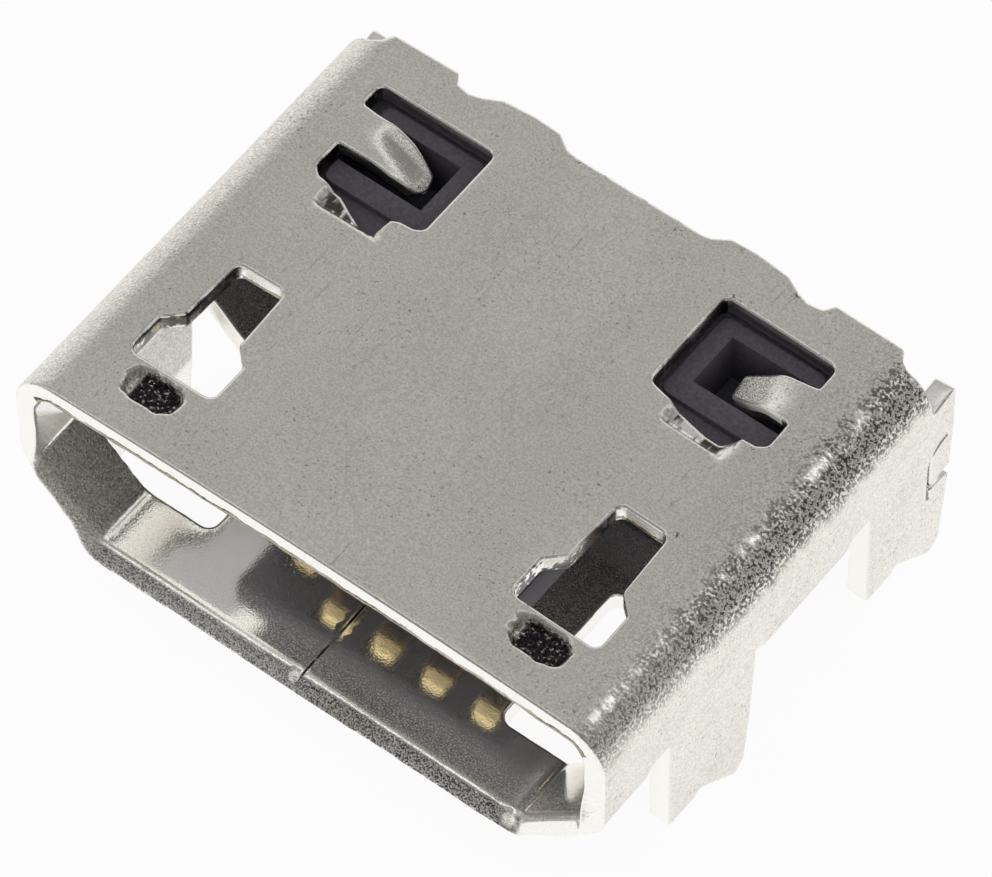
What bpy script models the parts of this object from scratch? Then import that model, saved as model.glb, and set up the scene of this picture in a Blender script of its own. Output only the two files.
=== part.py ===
# Micro socket for a circuit board: a folded sheet shell, a moulded insulator and five contacts.
# Units are metres, +Z is up. The mouth faces -Y and the shell stands on its four leg tips.
# Inside the parent empty, y = 0 is the plane of the mouth and z = 0 is the plane of the leg tips.

import math

import bmesh
import bpy
from mathutils import Vector

MM = 0.001

# Shell: the sheet and its folds
SHEET = 0.25 * MM
MOUTH_WIDTH = 6.90 * MM
MOUTH_HEIGHT = 1.85 * MM
FLOOR_WIDTH = 5.36 * MM
CHAMFER_HEIGHT = 0.78 * MM
ROOF_BEND = 0.25 * MM
FLOOR_BEND = 0.16 * MM
ROOF_CROWN = 0.08 * MM
ROOF_BAR = 0.61 * MM
FLOOR_LENGTH = 5.20 * MM

# Butt seam of the sheet and the dovetail that locks it
SEAM_PLACE = -0.05 * MM
SEAM_GAP = 0.04 * MM
DOVETAIL_FRONT = 2.10 * MM
DOVETAIL_WIDTH = 0.90 * MM
DOVETAIL_NECK = 0.56 * MM
DOVETAIL_DEPTH = 0.60 * MM

# Rolled lip: full along the floor and the chamfers, faded out up the side walls
LIP_RADIUS = 0.30 * MM
LIP_ANGLE = math.radians(55)
LIP_ZONE = 0.20 * MM
LIP_BLEND = 0.05 * MM

# Legs, and the play round the metal they are cut from
LEG_FRONT = 1.03 * MM
LEG_PITCH = 3.33 * MM
LEG_WIDTH = 1.44 * MM
LEG_DROP = 0.87 * MM
LEG_SHOULDER_DROP = 0.43 * MM
LEG_SHOULDER_WIDTH = 0.44 * MM
LEG_NOTCH = 0.07 * MM
LEG_TIP_PLACE = 1.12 * MM
LEG_LEAN = 0.16 * MM
LEG_CORNER = 0.06 * MM
BLANK_FRONT_PLAY = 0.33 * MM
BLANK_REAR_PLAY = 0.12 * MM
BLANK_CORNER = 0.12 * MM
RELIEF_PLAY = 0.01 * MM

# Latch slots near the front of the roof
SLOT_SPACING = 4.77 * MM
SLOT_FRONT = 0.87 * MM
SLOT_LENGTH = 1.47 * MM
SLOT_WIDE = 1.06 * MM
SLOT_NARROW = 0.66 * MM
SLOT_WIDE_LENGTH = 0.49 * MM
SLOT_STEP_LENGTH = 0.19 * MM
SLOT_TAPER = 0.03 * MM
SLOT_CORNER = 0.08 * MM

# Coined pit in front of each slot
PIT_SPACING = 4.83 * MM
PIT_WIDTH = 0.69 * MM
PIT_LENGTH = 0.38 * MM
PIT_DEPTH = 0.11 * MM
PIT_BRIDGE = 0.07 * MM
PIT_TAPER = 0.05 * MM

# Rear windows: the dip in the front edge of each, and the ledge struck to its left
WINDOW_SPACING = 4.28 * MM
WINDOW_WIDTH = 1.38 * MM
WINDOW_FRONT = 3.72 * MM
WINDOW_LENGTH = 1.21 * MM
WINDOW_CORNER = 0.10 * MM
DIP_START = 0.42 * MM
DIP_PLACE = 0.83 * MM
DIP_WIDTH = 0.14 * MM
DIP_LENGTH = 0.28 * MM
DIP_RISE = 0.07 * MM
DIP_CORNER = 0.04 * MM
LEDGE_PLACE = 0.27 * MM
LEDGE_WIDTH = 0.58 * MM
LEDGE_LENGTH = 0.33 * MM
LEDGE_DEPTH = 0.11 * MM

# Tab bent down into each window from its outer side
TAB_SETBACK = 0.40 * MM
TAB_WIDTH = 0.50 * MM
TAB_TIP_SHARE = 0.60
TAB_TIP_SHIFT = 0.05 * MM
TAB_LENGTH = 1.05 * MM
TAB_BEND = 0.45 * MM
TAB_ANGLE = math.radians(36)

# Rear edge of the roof: the shallow recess, a notch each side and a nick in each bend
RECESS_WIDTH = 1.64 * MM
RECESS_FLARE = 0.24 * MM
RECESS_DEPTH = 0.14 * MM
NOTCH_PLACE = 2.17 * MM
NOTCH_WIDTH = 0.18 * MM
NOTCH_INNER_FLARE = 0.27 * MM
NOTCH_OUTER_FLARE = 0.10 * MM
NOTCH_DEPTH = 0.15 * MM
NICK_PLACE = 3.28 * MM
NICK_WIDTH = 0.10 * MM
NICK_FLARE = 0.04 * MM
NICK_DEPTH = 0.09 * MM

# Side walls behind the roof: the step, the curved slit and the wedge that opens beside it
SIDE_STEP_DROP = 0.56 * MM
SLIT_WIDTH = 0.05 * MM
SLIT_DROP = 1.27 * MM
SLIT_HEIGHT = 0.86 * MM
SLIT_SETBACK = 0.40 * MM
SLIT_BEND = 0.28 * MM
WEDGE_DROP = 1.98 * MM
WEDGE_HEIGHT = 0.12 * MM

# Insulator
FIT = 0.02 * MM
BLOCK_FRONT = 3.30 * MM
BLOCK_REAR = 5.50 * MM
TONGUE_FRONT = 0.86 * MM
TONGUE_WIDTH = 3.40 * MM
TONGUE_THICKNESS = 0.46 * MM
TONGUE_DROP = 0.62 * MM
TONGUE_BEVEL = 0.09 * MM
PAD_RISE = 0.11 * MM
PAD_PLAY = 0.05 * MM
POCKET_DEPTH = 0.60 * MM
POCKET_PLAY = 0.08 * MM
FOOT_BAY_LENGTH = 0.55 * MM
FOOT_BAY_HEIGHT = 0.60 * MM

# Contacts. The first one ends further back than the others.
CONTACT_COUNT = 5
CONTACT_PITCH = 0.65 * MM
CONTACT_WIDTH = 0.34 * MM
CONTACT_THICKNESS = 0.15 * MM
CONTACT_PROUD = 0.05 * MM
CONTACT_FRONT = 0.96 * MM
CONTACT_SETBACK = 0.38 * MM
NOSE_RADIUS = 0.40 * MM
NOSE_ANGLE = math.radians(55)
CONTACT_BEND = 0.15 * MM
TAIL_PLACE = 5.42 * MM
TAIL_REAR = 6.05 * MM
TAIL_STANDOFF = 0.01 * MM

# Smoothness of the bends, and the longest straight stretch of the roof and side walls
BEND_STEPS = 7
LIP_STEPS = 6
CORNER_STEPS = 4
STATION = 0.46 * MM

# Overlap of joined solids: a hair inside the wall's faces, and a bite along it
HAIR = 0.002 * MM
BITE = 0.15 * MM
FAR = 2.0 * MM

# Sizes that follow from the ones above
FLOOR_Z = LEG_DROP
FLOOR_TOP = FLOOR_Z + SHEET
ROOF_UNDER = FLOOR_TOP + MOUTH_HEIGHT
ROOF_Z = ROOF_UNDER + SHEET
HALF_MOUTH = MOUTH_WIDTH / 2
HALF_WIDTH = HALF_MOUTH + SHEET
HALF_FLOOR = FLOOR_WIDTH / 2
FOLD_Z = FLOOR_TOP + CHAMFER_HEIGHT
CHAMFER_RUN = HALF_MOUTH - HALF_FLOOR
CHAMFER_LENGTH = math.hypot(CHAMFER_RUN, CHAMFER_HEIGHT)
CHAMFER_SLOPE = math.atan2(CHAMFER_HEIGHT, CHAMFER_RUN)
SIDE_REAR = LEG_FRONT + LEG_PITCH + LEG_WIDTH
LIP_REACH = LIP_RADIUS * math.sin(LIP_ANGLE)
# The side wall stays flat down to here, so a leg can leave it straight.
RELIEF_Z = FOLD_Z + FLOOR_BEND * math.tan((math.pi / 2 - CHAMFER_SLOPE) / 2) + RELIEF_PLAY
# A leg is as long as the metal that leaves the chamfer and the floor.
BLANK_INNER = HALF_FLOOR - (FOLD_Z - CHAMFER_LENGTH)
WINDOW_REAR = WINDOW_FRONT + WINDOW_LENGTH
# The roof ends a bar's width behind the windows.
ROOF_LENGTH = WINDOW_REAR + ROOF_BAR
TAB_ROOT = (WINDOW_SPACING + WINDOW_WIDTH) / 2
TAB_MIDDLE = WINDOW_FRONT + TAB_SETBACK + TAB_WIDTH / 2
TAB_STRAIGHT = TAB_LENGTH - TAB_BEND * TAB_ANGLE
TAB_REACH = TAB_BEND * math.sin(TAB_ANGLE) + TAB_STRAIGHT * math.cos(TAB_ANGLE)
TONGUE_TOP = ROOF_Z - TONGUE_DROP
TONGUE_UNDER = TONGUE_TOP - TONGUE_THICKNESS
CONTACT_UNDER = TONGUE_UNDER - CONTACT_PROUD
FOOT_Z = FLOOR_Z - TAIL_STANDOFF
# The parent empty brings the middle of the whole part over the origin.
CENTRE_Y = (TAIL_REAR - LIP_REACH) / 2

SIDES = ((1, "right"), (-1, "left"))


def clear_scene():
    for obj in list(bpy.data.objects):
        bpy.data.objects.remove(obj, do_unlink=True)


def new_collection(name, parent):
    made = bpy.data.collections.new(name)
    parent.children.link(made)
    return made


def make_material(name, colour, metallic, roughness):
    material = bpy.data.materials.new(name)
    material.use_nodes = True
    shader = material.node_tree.nodes["Principled BSDF"]
    shader.inputs["Base Color"].default_value = (*colour, 1.0)
    shader.inputs["Metallic"].default_value = metallic
    shader.inputs["Roughness"].default_value = roughness
    return material


def add_object(name, work, group, material=None):
    mesh = bpy.data.meshes.new(name)
    work.to_mesh(mesh)
    work.free()
    obj = bpy.data.objects.new(name, mesh)
    group.objects.link(obj)
    obj.parent = frame
    if material:
        mesh.materials.append(material)
    else:
        obj.hide_render = True
        obj.display_type = "WIRE"
    return obj


def rounded(corners, radii, steps):
    """A closed outline whose corners are arcs of the given radii."""
    points = []
    for i, corner in enumerate(corners):
        here = Vector(corner)
        before = (Vector(corners[i - 1]) - here).normalized()
        after = (Vector(corners[(i + 1) % len(corners)]) - here).normalized()
        if radii[i] == 0:
            points.append(here)
            continue
        half = before.angle(after) / 2
        centre = here + (before + after).normalized() * (radii[i] / math.sin(half))
        first = here + before * (radii[i] / math.tan(half)) - centre
        last = here + after * (radii[i] / math.tan(half)) - centre
        turn = first.angle_signed(last)
        for k in range(steps + 1):
            c, s = math.cos(-turn * k / steps), math.sin(-turn * k / steps)
            points.append(centre + Vector((first.x * c - first.y * s, first.x * s + first.y * c)))
    return points


def box_outline(low_a, high_a, low_b, high_b):
    return [(low_a, low_b), (high_a, low_b), (high_a, high_b), (low_a, high_b)]


def mirrored(outline, sign):
    return [(sign * a, b) for a, b in outline]


def prism(name, outline, low, high, axis, group, material=None):
    """A closed solid: an outline in the plane across the axis, drawn out from low to high."""
    work = bmesh.new()
    turned = {
        "X": lambda a, b: (low, a, b),
        "Y": lambda a, b: (a, low, b),
        "Z": lambda a, b: (a, b, low),
    }
    along = Vector([high - low if axis == letter else 0 for letter in "XYZ"])
    face = work.faces.new([work.verts.new(turned[axis](a, b)) for a, b in outline])
    made = bmesh.ops.extrude_face_region(work, geom=[face])
    moved = [v for v in made["geom"] if isinstance(v, bmesh.types.BMVert)]
    bmesh.ops.translate(work, verts=moved, vec=along)
    bmesh.ops.recalc_face_normals(work, faces=work.faces)
    return add_object(name, work, group, material)


def ribbon(name, path, width, low, high, axis, group):
    """A thin solid along a line, mitred at the line's corners."""
    steps = [(Vector(b) - Vector(a)).normalized() for a, b in zip(path, path[1:])]
    left, right = [], []
    for i, point in enumerate(path):
        before, after = steps[max(i - 1, 0)], steps[min(i, len(steps) - 1)]
        across = (before + after).orthogonal() / (1 + before.dot(after)) * width / 2
        left.append(Vector(point) + across)
        right.append(Vector(point) - across)
    return prism(name, left + right[::-1], low, high, axis, group)


def strip(name, rows, thickness, group, material=None):
    """A band through pairs of points, thickened away from the side its faces look to."""
    work = bmesh.new()
    made = [[work.verts.new(point) for point in row] for row in rows]
    for first, second in zip(made, made[1:]):
        for i in range(len(first) - 1):
            work.faces.new((first[i], first[i + 1], second[i + 1], second[i]))
    obj = add_object(name, work, group, material)
    solid = obj.modifiers.new("thickness", "SOLIDIFY")
    solid.thickness = thickness
    solid.offset = -1.0
    solid.use_even_offset = True
    return obj


def boolean(target, group, operation):
    """Takes every solid of a collection out of the target, or joins them all to it."""
    modifier = target.modifiers.new(group.name, "BOOLEAN")
    modifier.operand_type = "COLLECTION"
    modifier.collection = group
    modifier.operation = operation
    modifier.solver = "EXACT"


def crown_at(x):
    """How far the gently arched roof rises above its edges."""
    half = HALF_MOUTH - ROOF_BEND
    return ROOF_CROWN * max(0.0, 1 - (x / half) ** 2)


def shell_section(inset):
    """Inner outline of the folded sheet, anticlockwise from the floor's right end, moved in by inset."""
    half_mouth = HALF_MOUTH - inset
    half_floor = HALF_FLOOR - inset * math.tan(CHAMFER_SLOPE / 2)
    fold = FOLD_Z + inset * math.tan((math.pi / 2 - CHAMFER_SLOPE) / 2)
    roof = ROOF_UNDER - inset
    right = [(half_floor, FLOOR_TOP + inset), (half_mouth, fold), (half_mouth, roof)]
    left = [(-x, z) for x, z in reversed(right)]
    bend = FLOOR_BEND - inset
    top = ROOF_BEND - inset
    ring = rounded(right + left, [bend, bend, top, top, bend, bend], BEND_STEPS)
    points = []
    for here, ahead in zip(ring, ring[1:] + ring[:1]):
        above_fold = min(here.y, ahead.y) > fold
        count = max(1, round((ahead - here).length / STATION)) if above_fold else 1
        for k in range(count):
            point = here.lerp(ahead, k / count)
            on_roof = point.y > roof - HAIR
            points.append(Vector((point.x, point.y + crown_at(point.x) if on_roof else point.y)))
    return points


def lip_share(z):
    """How much of the lip a point has: all of it up to the fold, none from halfway up the side wall."""
    top = (FOLD_Z + ROOF_UNDER) / 2
    share = min(1.0, max(0.0, (top - z) / (top - FOLD_Z)))
    return share * share * (3 - 2 * share)


def build_shell():
    """Lofts the inner surface from the rolled lip to the rear and thickens it outwards."""
    ring = shell_section(0.0)
    outward = []
    for i in range(len(ring)):
        along = (ring[(i + 1) % len(ring)] - ring[i - 1]).normalized()
        outward.append(Vector((along.y, -along.x)))
    rows = []
    for k in range(LIP_STEPS, -1, -1):
        angle = LIP_ANGLE * k / LIP_STEPS
        row = []
        for point, normal in zip(ring, outward):
            share = lip_share(point.y)
            flat = LIP_ZONE * (1 - k / LIP_STEPS)
            y = (1 - share) * flat - share * LIP_RADIUS * math.sin(angle)
            place = point + normal * share * LIP_RADIUS * (1 - math.cos(angle))
            row.append((place.x, y, place.y))
        rows.append(row)
    for y in (LIP_ZONE + LIP_BLEND, SIDE_REAR):
        rows.append([(point.x, y, point.y) for point in ring])
    obj = strip("shell", rows, SHEET, parts, plating)
    work = bmesh.new()
    work.from_mesh(obj.data)
    work.verts.ensure_lookup_table()
    count = len(ring)
    for n in range(len(rows) - 1):
        first, second = n * count, (n + 1) * count
        loop = (first + count - 1, first, second, second + count - 1)
        work.faces.new([work.verts[i] for i in loop])
    work.to_mesh(obj.data)
    work.free()
    return obj


def leg_openings(group):
    """Where the legs' metal leaves the chamfer and the floor."""
    for sign, side in SIDES:
        for number in range(2):
            front = LEG_FRONT + number * LEG_PITCH - BLANK_FRONT_PLAY
            rear = LEG_FRONT + number * LEG_PITCH + LEG_WIDTH + BLANK_REAR_PLAY
            corners = box_outline(BLANK_INNER, HALF_WIDTH + FAR, front, rear)
            outline = rounded(corners, [BLANK_CORNER, 0, 0, BLANK_CORNER], CORNER_STEPS)
            prism(f"leg_opening_{side}_{number + 1}", mirrored(outline, sign), -FAR, RELIEF_Z, "Z", group)


def legs(group):
    """Plates straight down from the side walls: a blunt shoulder in front, a pointed tip behind it."""
    shoulder = FLOOR_Z - LEG_SHOULDER_DROP
    for sign, side in SIDES:
        for number in range(2):
            front = LEG_FRONT + number * LEG_PITCH
            rear = front + LEG_WIDTH - HAIR
            corners = [
                (front, RELIEF_Z + BITE),
                (front, shoulder),
                (front + LEG_SHOULDER_WIDTH, shoulder),
                (front + LEG_SHOULDER_WIDTH + LEG_NOTCH, shoulder + LEG_NOTCH),
                (front + LEG_TIP_PLACE, 0.0),
                (rear - LEG_LEAN, LEG_NOTCH * 2),
                (rear - LEG_LEAN / 2, FLOOR_Z),
                (rear, RELIEF_Z),
                (rear, RELIEF_Z + BITE),
            ]
            radii = [0, LEG_CORNER, LEG_CORNER / 2, LEG_CORNER / 2, LEG_CORNER, LEG_CORNER, 0, 0, 0]
            ends = sorted((sign * (HALF_MOUTH + HAIR), sign * (HALF_WIDTH - HAIR)))
            prism(f"leg_{side}_{number + 1}", rounded(corners, radii, CORNER_STEPS), *ends, "X", group)


def latch_slots(group):
    """Stepped slots: wide in front, narrow behind, with an eased step between."""
    step = SLOT_FRONT + SLOT_WIDE_LENGTH
    right = [
        (SLOT_WIDE / 2, SLOT_FRONT),
        (SLOT_WIDE / 2, step),
        (SLOT_NARROW / 2, step + SLOT_STEP_LENGTH),
        (SLOT_NARROW / 2 - SLOT_TAPER, SLOT_FRONT + SLOT_LENGTH),
    ]
    left = mirrored(right[::-1], -1)
    outline = rounded(right + left, [SLOT_CORNER] * 8, CORNER_STEPS)
    for sign, side in SIDES:
        placed = [(a + sign * SLOT_SPACING / 2, b) for a, b in outline]
        prism(f"latch_slot_{side}", placed, ROOF_UNDER - BITE, ROOF_Z + FAR, "Z", group)


def coined_pits(group):
    """Struck recesses whose floor is smaller than their mouth."""
    rear = SLOT_FRONT - PIT_BRIDGE
    for sign, side in SIDES:
        middle = Vector((sign * PIT_SPACING / 2, rear - PIT_LENGTH / 2))
        surface = ROOF_Z + crown_at(middle.x)
        work = bmesh.new()
        bmesh.ops.create_cube(work, size=2)
        for vert in work.verts:
            height = BITE if vert.co.z > 0 else -PIT_DEPTH
            grow = PIT_TAPER * height / PIT_DEPTH
            vert.co.x = middle.x + vert.co.x * (PIT_WIDTH / 2 + grow)
            vert.co.y = middle.y + vert.co.y * (PIT_LENGTH / 2 + grow)
            vert.co.z = surface + height
        add_object(f"coined_pit_{side}", work, group)


def rear_windows(group):
    """Both windows have their ledge and dip at the same end, so one is not the other's mirror image."""
    for sign, side in SIDES:
        left = (sign * WINDOW_SPACING - WINDOW_WIDTH) / 2
        right = left + WINDOW_WIDTH
        dip = left + DIP_PLACE
        corners = [
            (left, WINDOW_FRONT),
            (left + DIP_START, WINDOW_FRONT - DIP_RISE / 2),
            (dip, WINDOW_FRONT - DIP_LENGTH),
            (dip + DIP_WIDTH, WINDOW_FRONT - DIP_LENGTH),
            (dip + DIP_WIDTH + DIP_RISE, WINDOW_FRONT),
            (right, WINDOW_FRONT),
            (right, WINDOW_REAR),
            (left, WINDOW_REAR),
        ]
        radii = [WINDOW_CORNER] + [DIP_CORNER] * 4 + [WINDOW_CORNER] * 3
        outline = rounded(corners, radii, CORNER_STEPS)
        prism(f"rear_window_{side}", outline, ROOF_UNDER - BITE, ROOF_Z + FAR, "Z", group)
        start = left + LEDGE_PLACE
        ledge = box_outline(start, start + LEDGE_WIDTH, WINDOW_FRONT - LEDGE_LENGTH, WINDOW_FRONT + BITE)
        low = ROOF_Z + crown_at(start) - LEDGE_DEPTH
        prism(f"struck_ledge_{side}", ledge, low, ROOF_Z + FAR, "Z", group)


def window_tabs(group):
    """Tabs bent down from the outer side of each window, narrowing to a rounded end."""
    surface = ROOF_Z + crown_at(TAB_ROOT) - HAIR
    path = [(TAB_ROOT + BITE, surface, 0.0)]
    for k in range(BEND_STEPS + 1):
        angle = TAB_ANGLE * k / BEND_STEPS
        drop = TAB_BEND * (1 - math.cos(angle))
        path.append((TAB_ROOT - TAB_BEND * math.sin(angle), surface - drop, 0.0))
    bent_x, bent_z = path[-1][:2]
    for share in (0.4, 0.7, 0.86, 0.95, 1.0):
        reach = TAB_STRAIGHT * share
        path.append((bent_x - reach * math.cos(TAB_ANGLE), bent_z - reach * math.sin(TAB_ANGLE), share))
    for sign, side in SIDES:
        rows = []
        for x, z, share in path:
            middle = TAB_MIDDLE + TAB_TIP_SHIFT * share
            taper = TAB_TIP_SHARE + (1 - TAB_TIP_SHARE) * math.sqrt(1 - share**2)
            half = sign * TAB_WIDTH / 2 * taper
            rows.append([(sign * x, middle - half, z), (sign * x, middle + half, z)])
        strip(f"window_tab_{side}", rows, SHEET - 2 * HAIR, group)


def edge_dip(name, low_flare, low, high, high_flare, depth, group):
    """A hollow with sloping ends in the rear edge of the roof."""
    outline = [
        (low - low_flare, ROOF_LENGTH + HAIR),
        (low, ROOF_LENGTH - depth),
        (high, ROOF_LENGTH - depth),
        (high + high_flare, ROOF_LENGTH + HAIR),
        (high + high_flare, SIDE_REAR + FAR),
        (low - low_flare, SIDE_REAR + FAR),
    ]
    prism(name, outline, ROOF_UNDER - BITE, ROOF_Z + FAR, "Z", group)


def rear_trims(group):
    """What is cut away behind the roof and the floor, so that only the side walls run on."""
    end = SIDE_REAR + FAR
    wide = HALF_WIDTH + FAR
    behind = box_outline(-wide, wide, ROOF_LENGTH, end)
    prism("roof_trim", behind, ROOF_Z - SIDE_STEP_DROP, ROOF_Z + FAR, "Z", group)
    half_recess = RECESS_WIDTH / 2
    edge_dip("roof_recess", RECESS_FLARE, -half_recess, half_recess, RECESS_FLARE, RECESS_DEPTH, group)
    low, high = NOTCH_PLACE - NOTCH_WIDTH / 2, NOTCH_PLACE + NOTCH_WIDTH / 2
    inner, outer = NOTCH_INNER_FLARE, NOTCH_OUTER_FLARE
    edge_dip("edge_notch_right", inner, low, high, outer, NOTCH_DEPTH, group)
    edge_dip("edge_notch_left", outer, -high, -low, inner, NOTCH_DEPTH, group)
    for sign, side in SIDES:
        nick = (sign * NICK_PLACE - NICK_WIDTH / 2, sign * NICK_PLACE + NICK_WIDTH / 2)
        edge_dip(f"bend_nick_{side}", NICK_FLARE, *nick, NICK_FLARE, NICK_DEPTH, group)
    floor = box_outline(-HALF_FLOOR, HALF_FLOOR, FLOOR_LENGTH, end)
    prism("floor_trim", floor, -FAR, FOLD_Z, "Z", group)


def seam(group):
    """The butt seam along the floor, with a dovetail in its course."""
    ease = (DOVETAIL_WIDTH - DOVETAIL_NECK) / 2
    end = DOVETAIL_FRONT + DOVETAIL_WIDTH
    path = [
        (SEAM_PLACE, -FAR),
        (SEAM_PLACE, DOVETAIL_FRONT + ease),
        (SEAM_PLACE + DOVETAIL_DEPTH, DOVETAIL_FRONT),
        (SEAM_PLACE + DOVETAIL_DEPTH, end),
        (SEAM_PLACE, end - ease),
        (SEAM_PLACE, SIDE_REAR + FAR),
    ]
    ribbon("seam", path, SEAM_GAP, FLOOR_Z - FAR, FLOOR_TOP + BITE, "Z", group)


def side_slits(group):
    """A slit that curves down near the rear of each side wall, and a wedge open to the rear beside it."""
    front = SIDE_REAR - SLIT_SETBACK
    top = ROOF_Z - SLIT_DROP
    path = []
    for k in range(BEND_STEPS + 1):
        angle = math.pi / 2 * k / BEND_STEPS
        path.append((front + SLIT_BEND * (1 - math.sin(angle)), top - SLIT_BEND * (1 - math.cos(angle))))
    path.append((front, top - SLIT_HEIGHT))
    low = ROOF_Z - WEDGE_DROP
    end = SIDE_REAR + BITE
    wedge = [(front, low), (end, low - SLIT_WIDTH), (end, low + WEDGE_HEIGHT), (front, low + SLIT_WIDTH)]
    for sign, side in SIDES:
        ends = sorted((sign * (HALF_MOUTH - BITE), sign * (HALF_WIDTH + BITE)))
        ribbon(f"side_slit_{side}", path, SLIT_WIDTH, *ends, "X", group)
        prism(f"side_wedge_{side}", wedge, *ends, "X", group)


def window_pads(group):
    """Low pads that rise from the block into the windows."""
    inner, outer = TAB_ROOT - WINDOW_WIDTH + PAD_PLAY, TAB_ROOT - PAD_PLAY
    corners = box_outline(inner, outer, WINDOW_FRONT + PAD_PLAY, WINDOW_REAR - PAD_PLAY)
    outline = rounded(corners, [WINDOW_CORNER] * 4, CORNER_STEPS)
    low, high = ROOF_UNDER - BITE * 2, ROOF_UNDER + PAD_RISE
    for sign, side in SIDES:
        prism(f"window_pad_{side}", mirrored(outline, sign), low, high, "Z", group)


def tongue(group):
    bevel = TONGUE_BEVEL
    outline = rounded(
        box_outline(TONGUE_FRONT, BLOCK_FRONT + BITE, TONGUE_UNDER, TONGUE_TOP),
        [bevel, 0, 0, bevel],
        CORNER_STEPS,
    )
    prism("tongue", outline, -TONGUE_WIDTH / 2, TONGUE_WIDTH / 2, "X", group)


def tab_pockets(group):
    """Room under each tab."""
    inner = TAB_ROOT - TAB_REACH - SHEET * math.sin(TAB_ANGLE) - POCKET_PLAY
    half = TAB_WIDTH / 2 + POCKET_PLAY
    outline = box_outline(inner, TAB_ROOT + POCKET_PLAY, TAB_MIDDLE - half, TAB_MIDDLE + half)
    low = ROOF_UNDER - POCKET_DEPTH
    for sign, side in SIDES:
        prism(f"tab_pocket_{side}", mirrored(outline, sign), low, ROOF_Z + FAR, "Z", group)


def foot_bay(group):
    """The low space behind the block where the contacts come down to their feet."""
    front, top = BLOCK_REAR - FOOT_BAY_LENGTH, FLOOR_TOP + FOOT_BAY_HEIGHT
    outline = box_outline(front, BLOCK_REAR + FAR, -FAR, top)
    prism("foot_bay", outline, -HALF_WIDTH - FAR, HALF_WIDTH + FAR, "X", group)


def contact_x(index):
    return (index - (CONTACT_COUNT - 1) / 2) * CONTACT_PITCH


def contact_front(index):
    return CONTACT_FRONT + (CONTACT_SETBACK if index == 0 else 0.0)


def build_contact(index):
    """A strip through its lower side: raised nose, straight run, bend down, bend back into the foot."""
    nose = contact_front(index) + NOSE_RADIUS
    path = []
    for k in range(BEND_STEPS, -1, -1):
        angle = NOSE_ANGLE * k / BEND_STEPS
        z = CONTACT_UNDER + NOSE_RADIUS * (1 - math.cos(angle))
        path.append((nose - NOSE_RADIUS * math.sin(angle), z))
    for k in range(BEND_STEPS + 1):
        angle = math.pi / 2 * k / BEND_STEPS
        y = TAIL_PLACE - CONTACT_BEND * (1 - math.sin(angle))
        path.append((y, CONTACT_UNDER - CONTACT_BEND * (1 - math.cos(angle))))
    outer = CONTACT_BEND + CONTACT_THICKNESS
    for k in range(BEND_STEPS + 1):
        angle = math.pi / 2 * k / BEND_STEPS
        path.append((TAIL_PLACE + outer * (1 - math.cos(angle)), FOOT_Z + outer * (1 - math.sin(angle))))
    path.append((TAIL_REAR, FOOT_Z))
    left = contact_x(index) - CONTACT_WIDTH / 2
    right = left + CONTACT_WIDTH
    rows = [[(right, y, z), (left, y, z)] for y, z in path]
    return strip(f"contact_{index + 1}", rows, CONTACT_THICKNESS, parts, gilding)


def contact_channels(group):
    """Each contact's way through: open below the tongue, closed in the block, open behind."""
    run_top = CONTACT_UNDER + CONTACT_THICKNESS + FIT
    run_under = CONTACT_UNDER - FIT
    nose_rise = NOSE_RADIUS - (NOSE_RADIUS - CONTACT_THICKNESS) * math.cos(NOSE_ANGLE)
    nose_top = CONTACT_UNDER + nose_rise + FIT
    for index in range(CONTACT_COUNT):
        front = contact_front(index)
        nose = front + NOSE_RADIUS + FIT
        outline = [
            (front, run_under - BITE),
            (BLOCK_FRONT - FIT, run_under - BITE),
            (BLOCK_FRONT - FIT, run_under),
            (TAIL_PLACE - CONTACT_BEND - FIT, run_under),
            (TAIL_PLACE - FIT, run_under - CONTACT_BEND),
            (TAIL_PLACE - FIT, FLOOR_TOP),
            (BLOCK_REAR + FAR, FLOOR_TOP),
            (BLOCK_REAR + FAR, run_top),
            (nose, run_top),
            (nose, nose_top),
            (front, nose_top),
        ]
        left = contact_x(index) - CONTACT_WIDTH / 2 - FIT
        right = contact_x(index) + CONTACT_WIDTH / 2 + FIT
        prism(f"contact_channel_{index + 1}", outline, left, right, "X", group)


clear_scene()
scene_root = bpy.context.scene.collection
frame = bpy.data.objects.new("micro_socket_frame", None)
scene_root.objects.link(frame)
frame.location = (0, -CENTRE_Y, 0)
parts = new_collection("micro_socket", scene_root)
helpers = new_collection("micro_socket_cutters", scene_root)

plating = make_material("tin plated steel", (0.42, 0.41, 0.37), 1.0, 0.38)
plastic = make_material("black moulded nylon", (0.022, 0.018, 0.024), 0.0, 0.55)
gilding = make_material("gold plated bronze", (0.80, 0.58, 0.26), 1.0, 0.3)

openings = new_collection("shell_openings", helpers)
leg_openings(openings)
latch_slots(openings)
coined_pits(openings)
rear_windows(openings)
rear_trims(openings)
additions = new_collection("shell_legs_and_tabs", helpers)
legs(additions)
window_tabs(additions)
slits = new_collection("shell_slits", helpers)
seam(slits)
side_slits(slits)
shell = build_shell()
boolean(shell, openings, "DIFFERENCE")
boolean(shell, additions, "UNION")
boolean(shell, slits, "DIFFERENCE")

moulded = new_collection("insulator_tongue_and_pads", helpers)
tongue(moulded)
window_pads(moulded)
hollows = new_collection("insulator_hollows", helpers)
tab_pockets(hollows)
foot_bay(hollows)
contact_channels(hollows)
insulator = prism("insulator", shell_section(FIT), BLOCK_FRONT, BLOCK_REAR, "Y", parts, plastic)
boolean(insulator, moulded, "UNION")
boolean(insulator, hollows, "DIFFERENCE")

contacts = [build_contact(index) for index in range(CONTACT_COUNT)]

for piece in (shell, insulator, *contacts):
    piece.data.shade_smooth()
    piece.data.set_sharp_from_angle(angle=math.radians(32))
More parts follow.
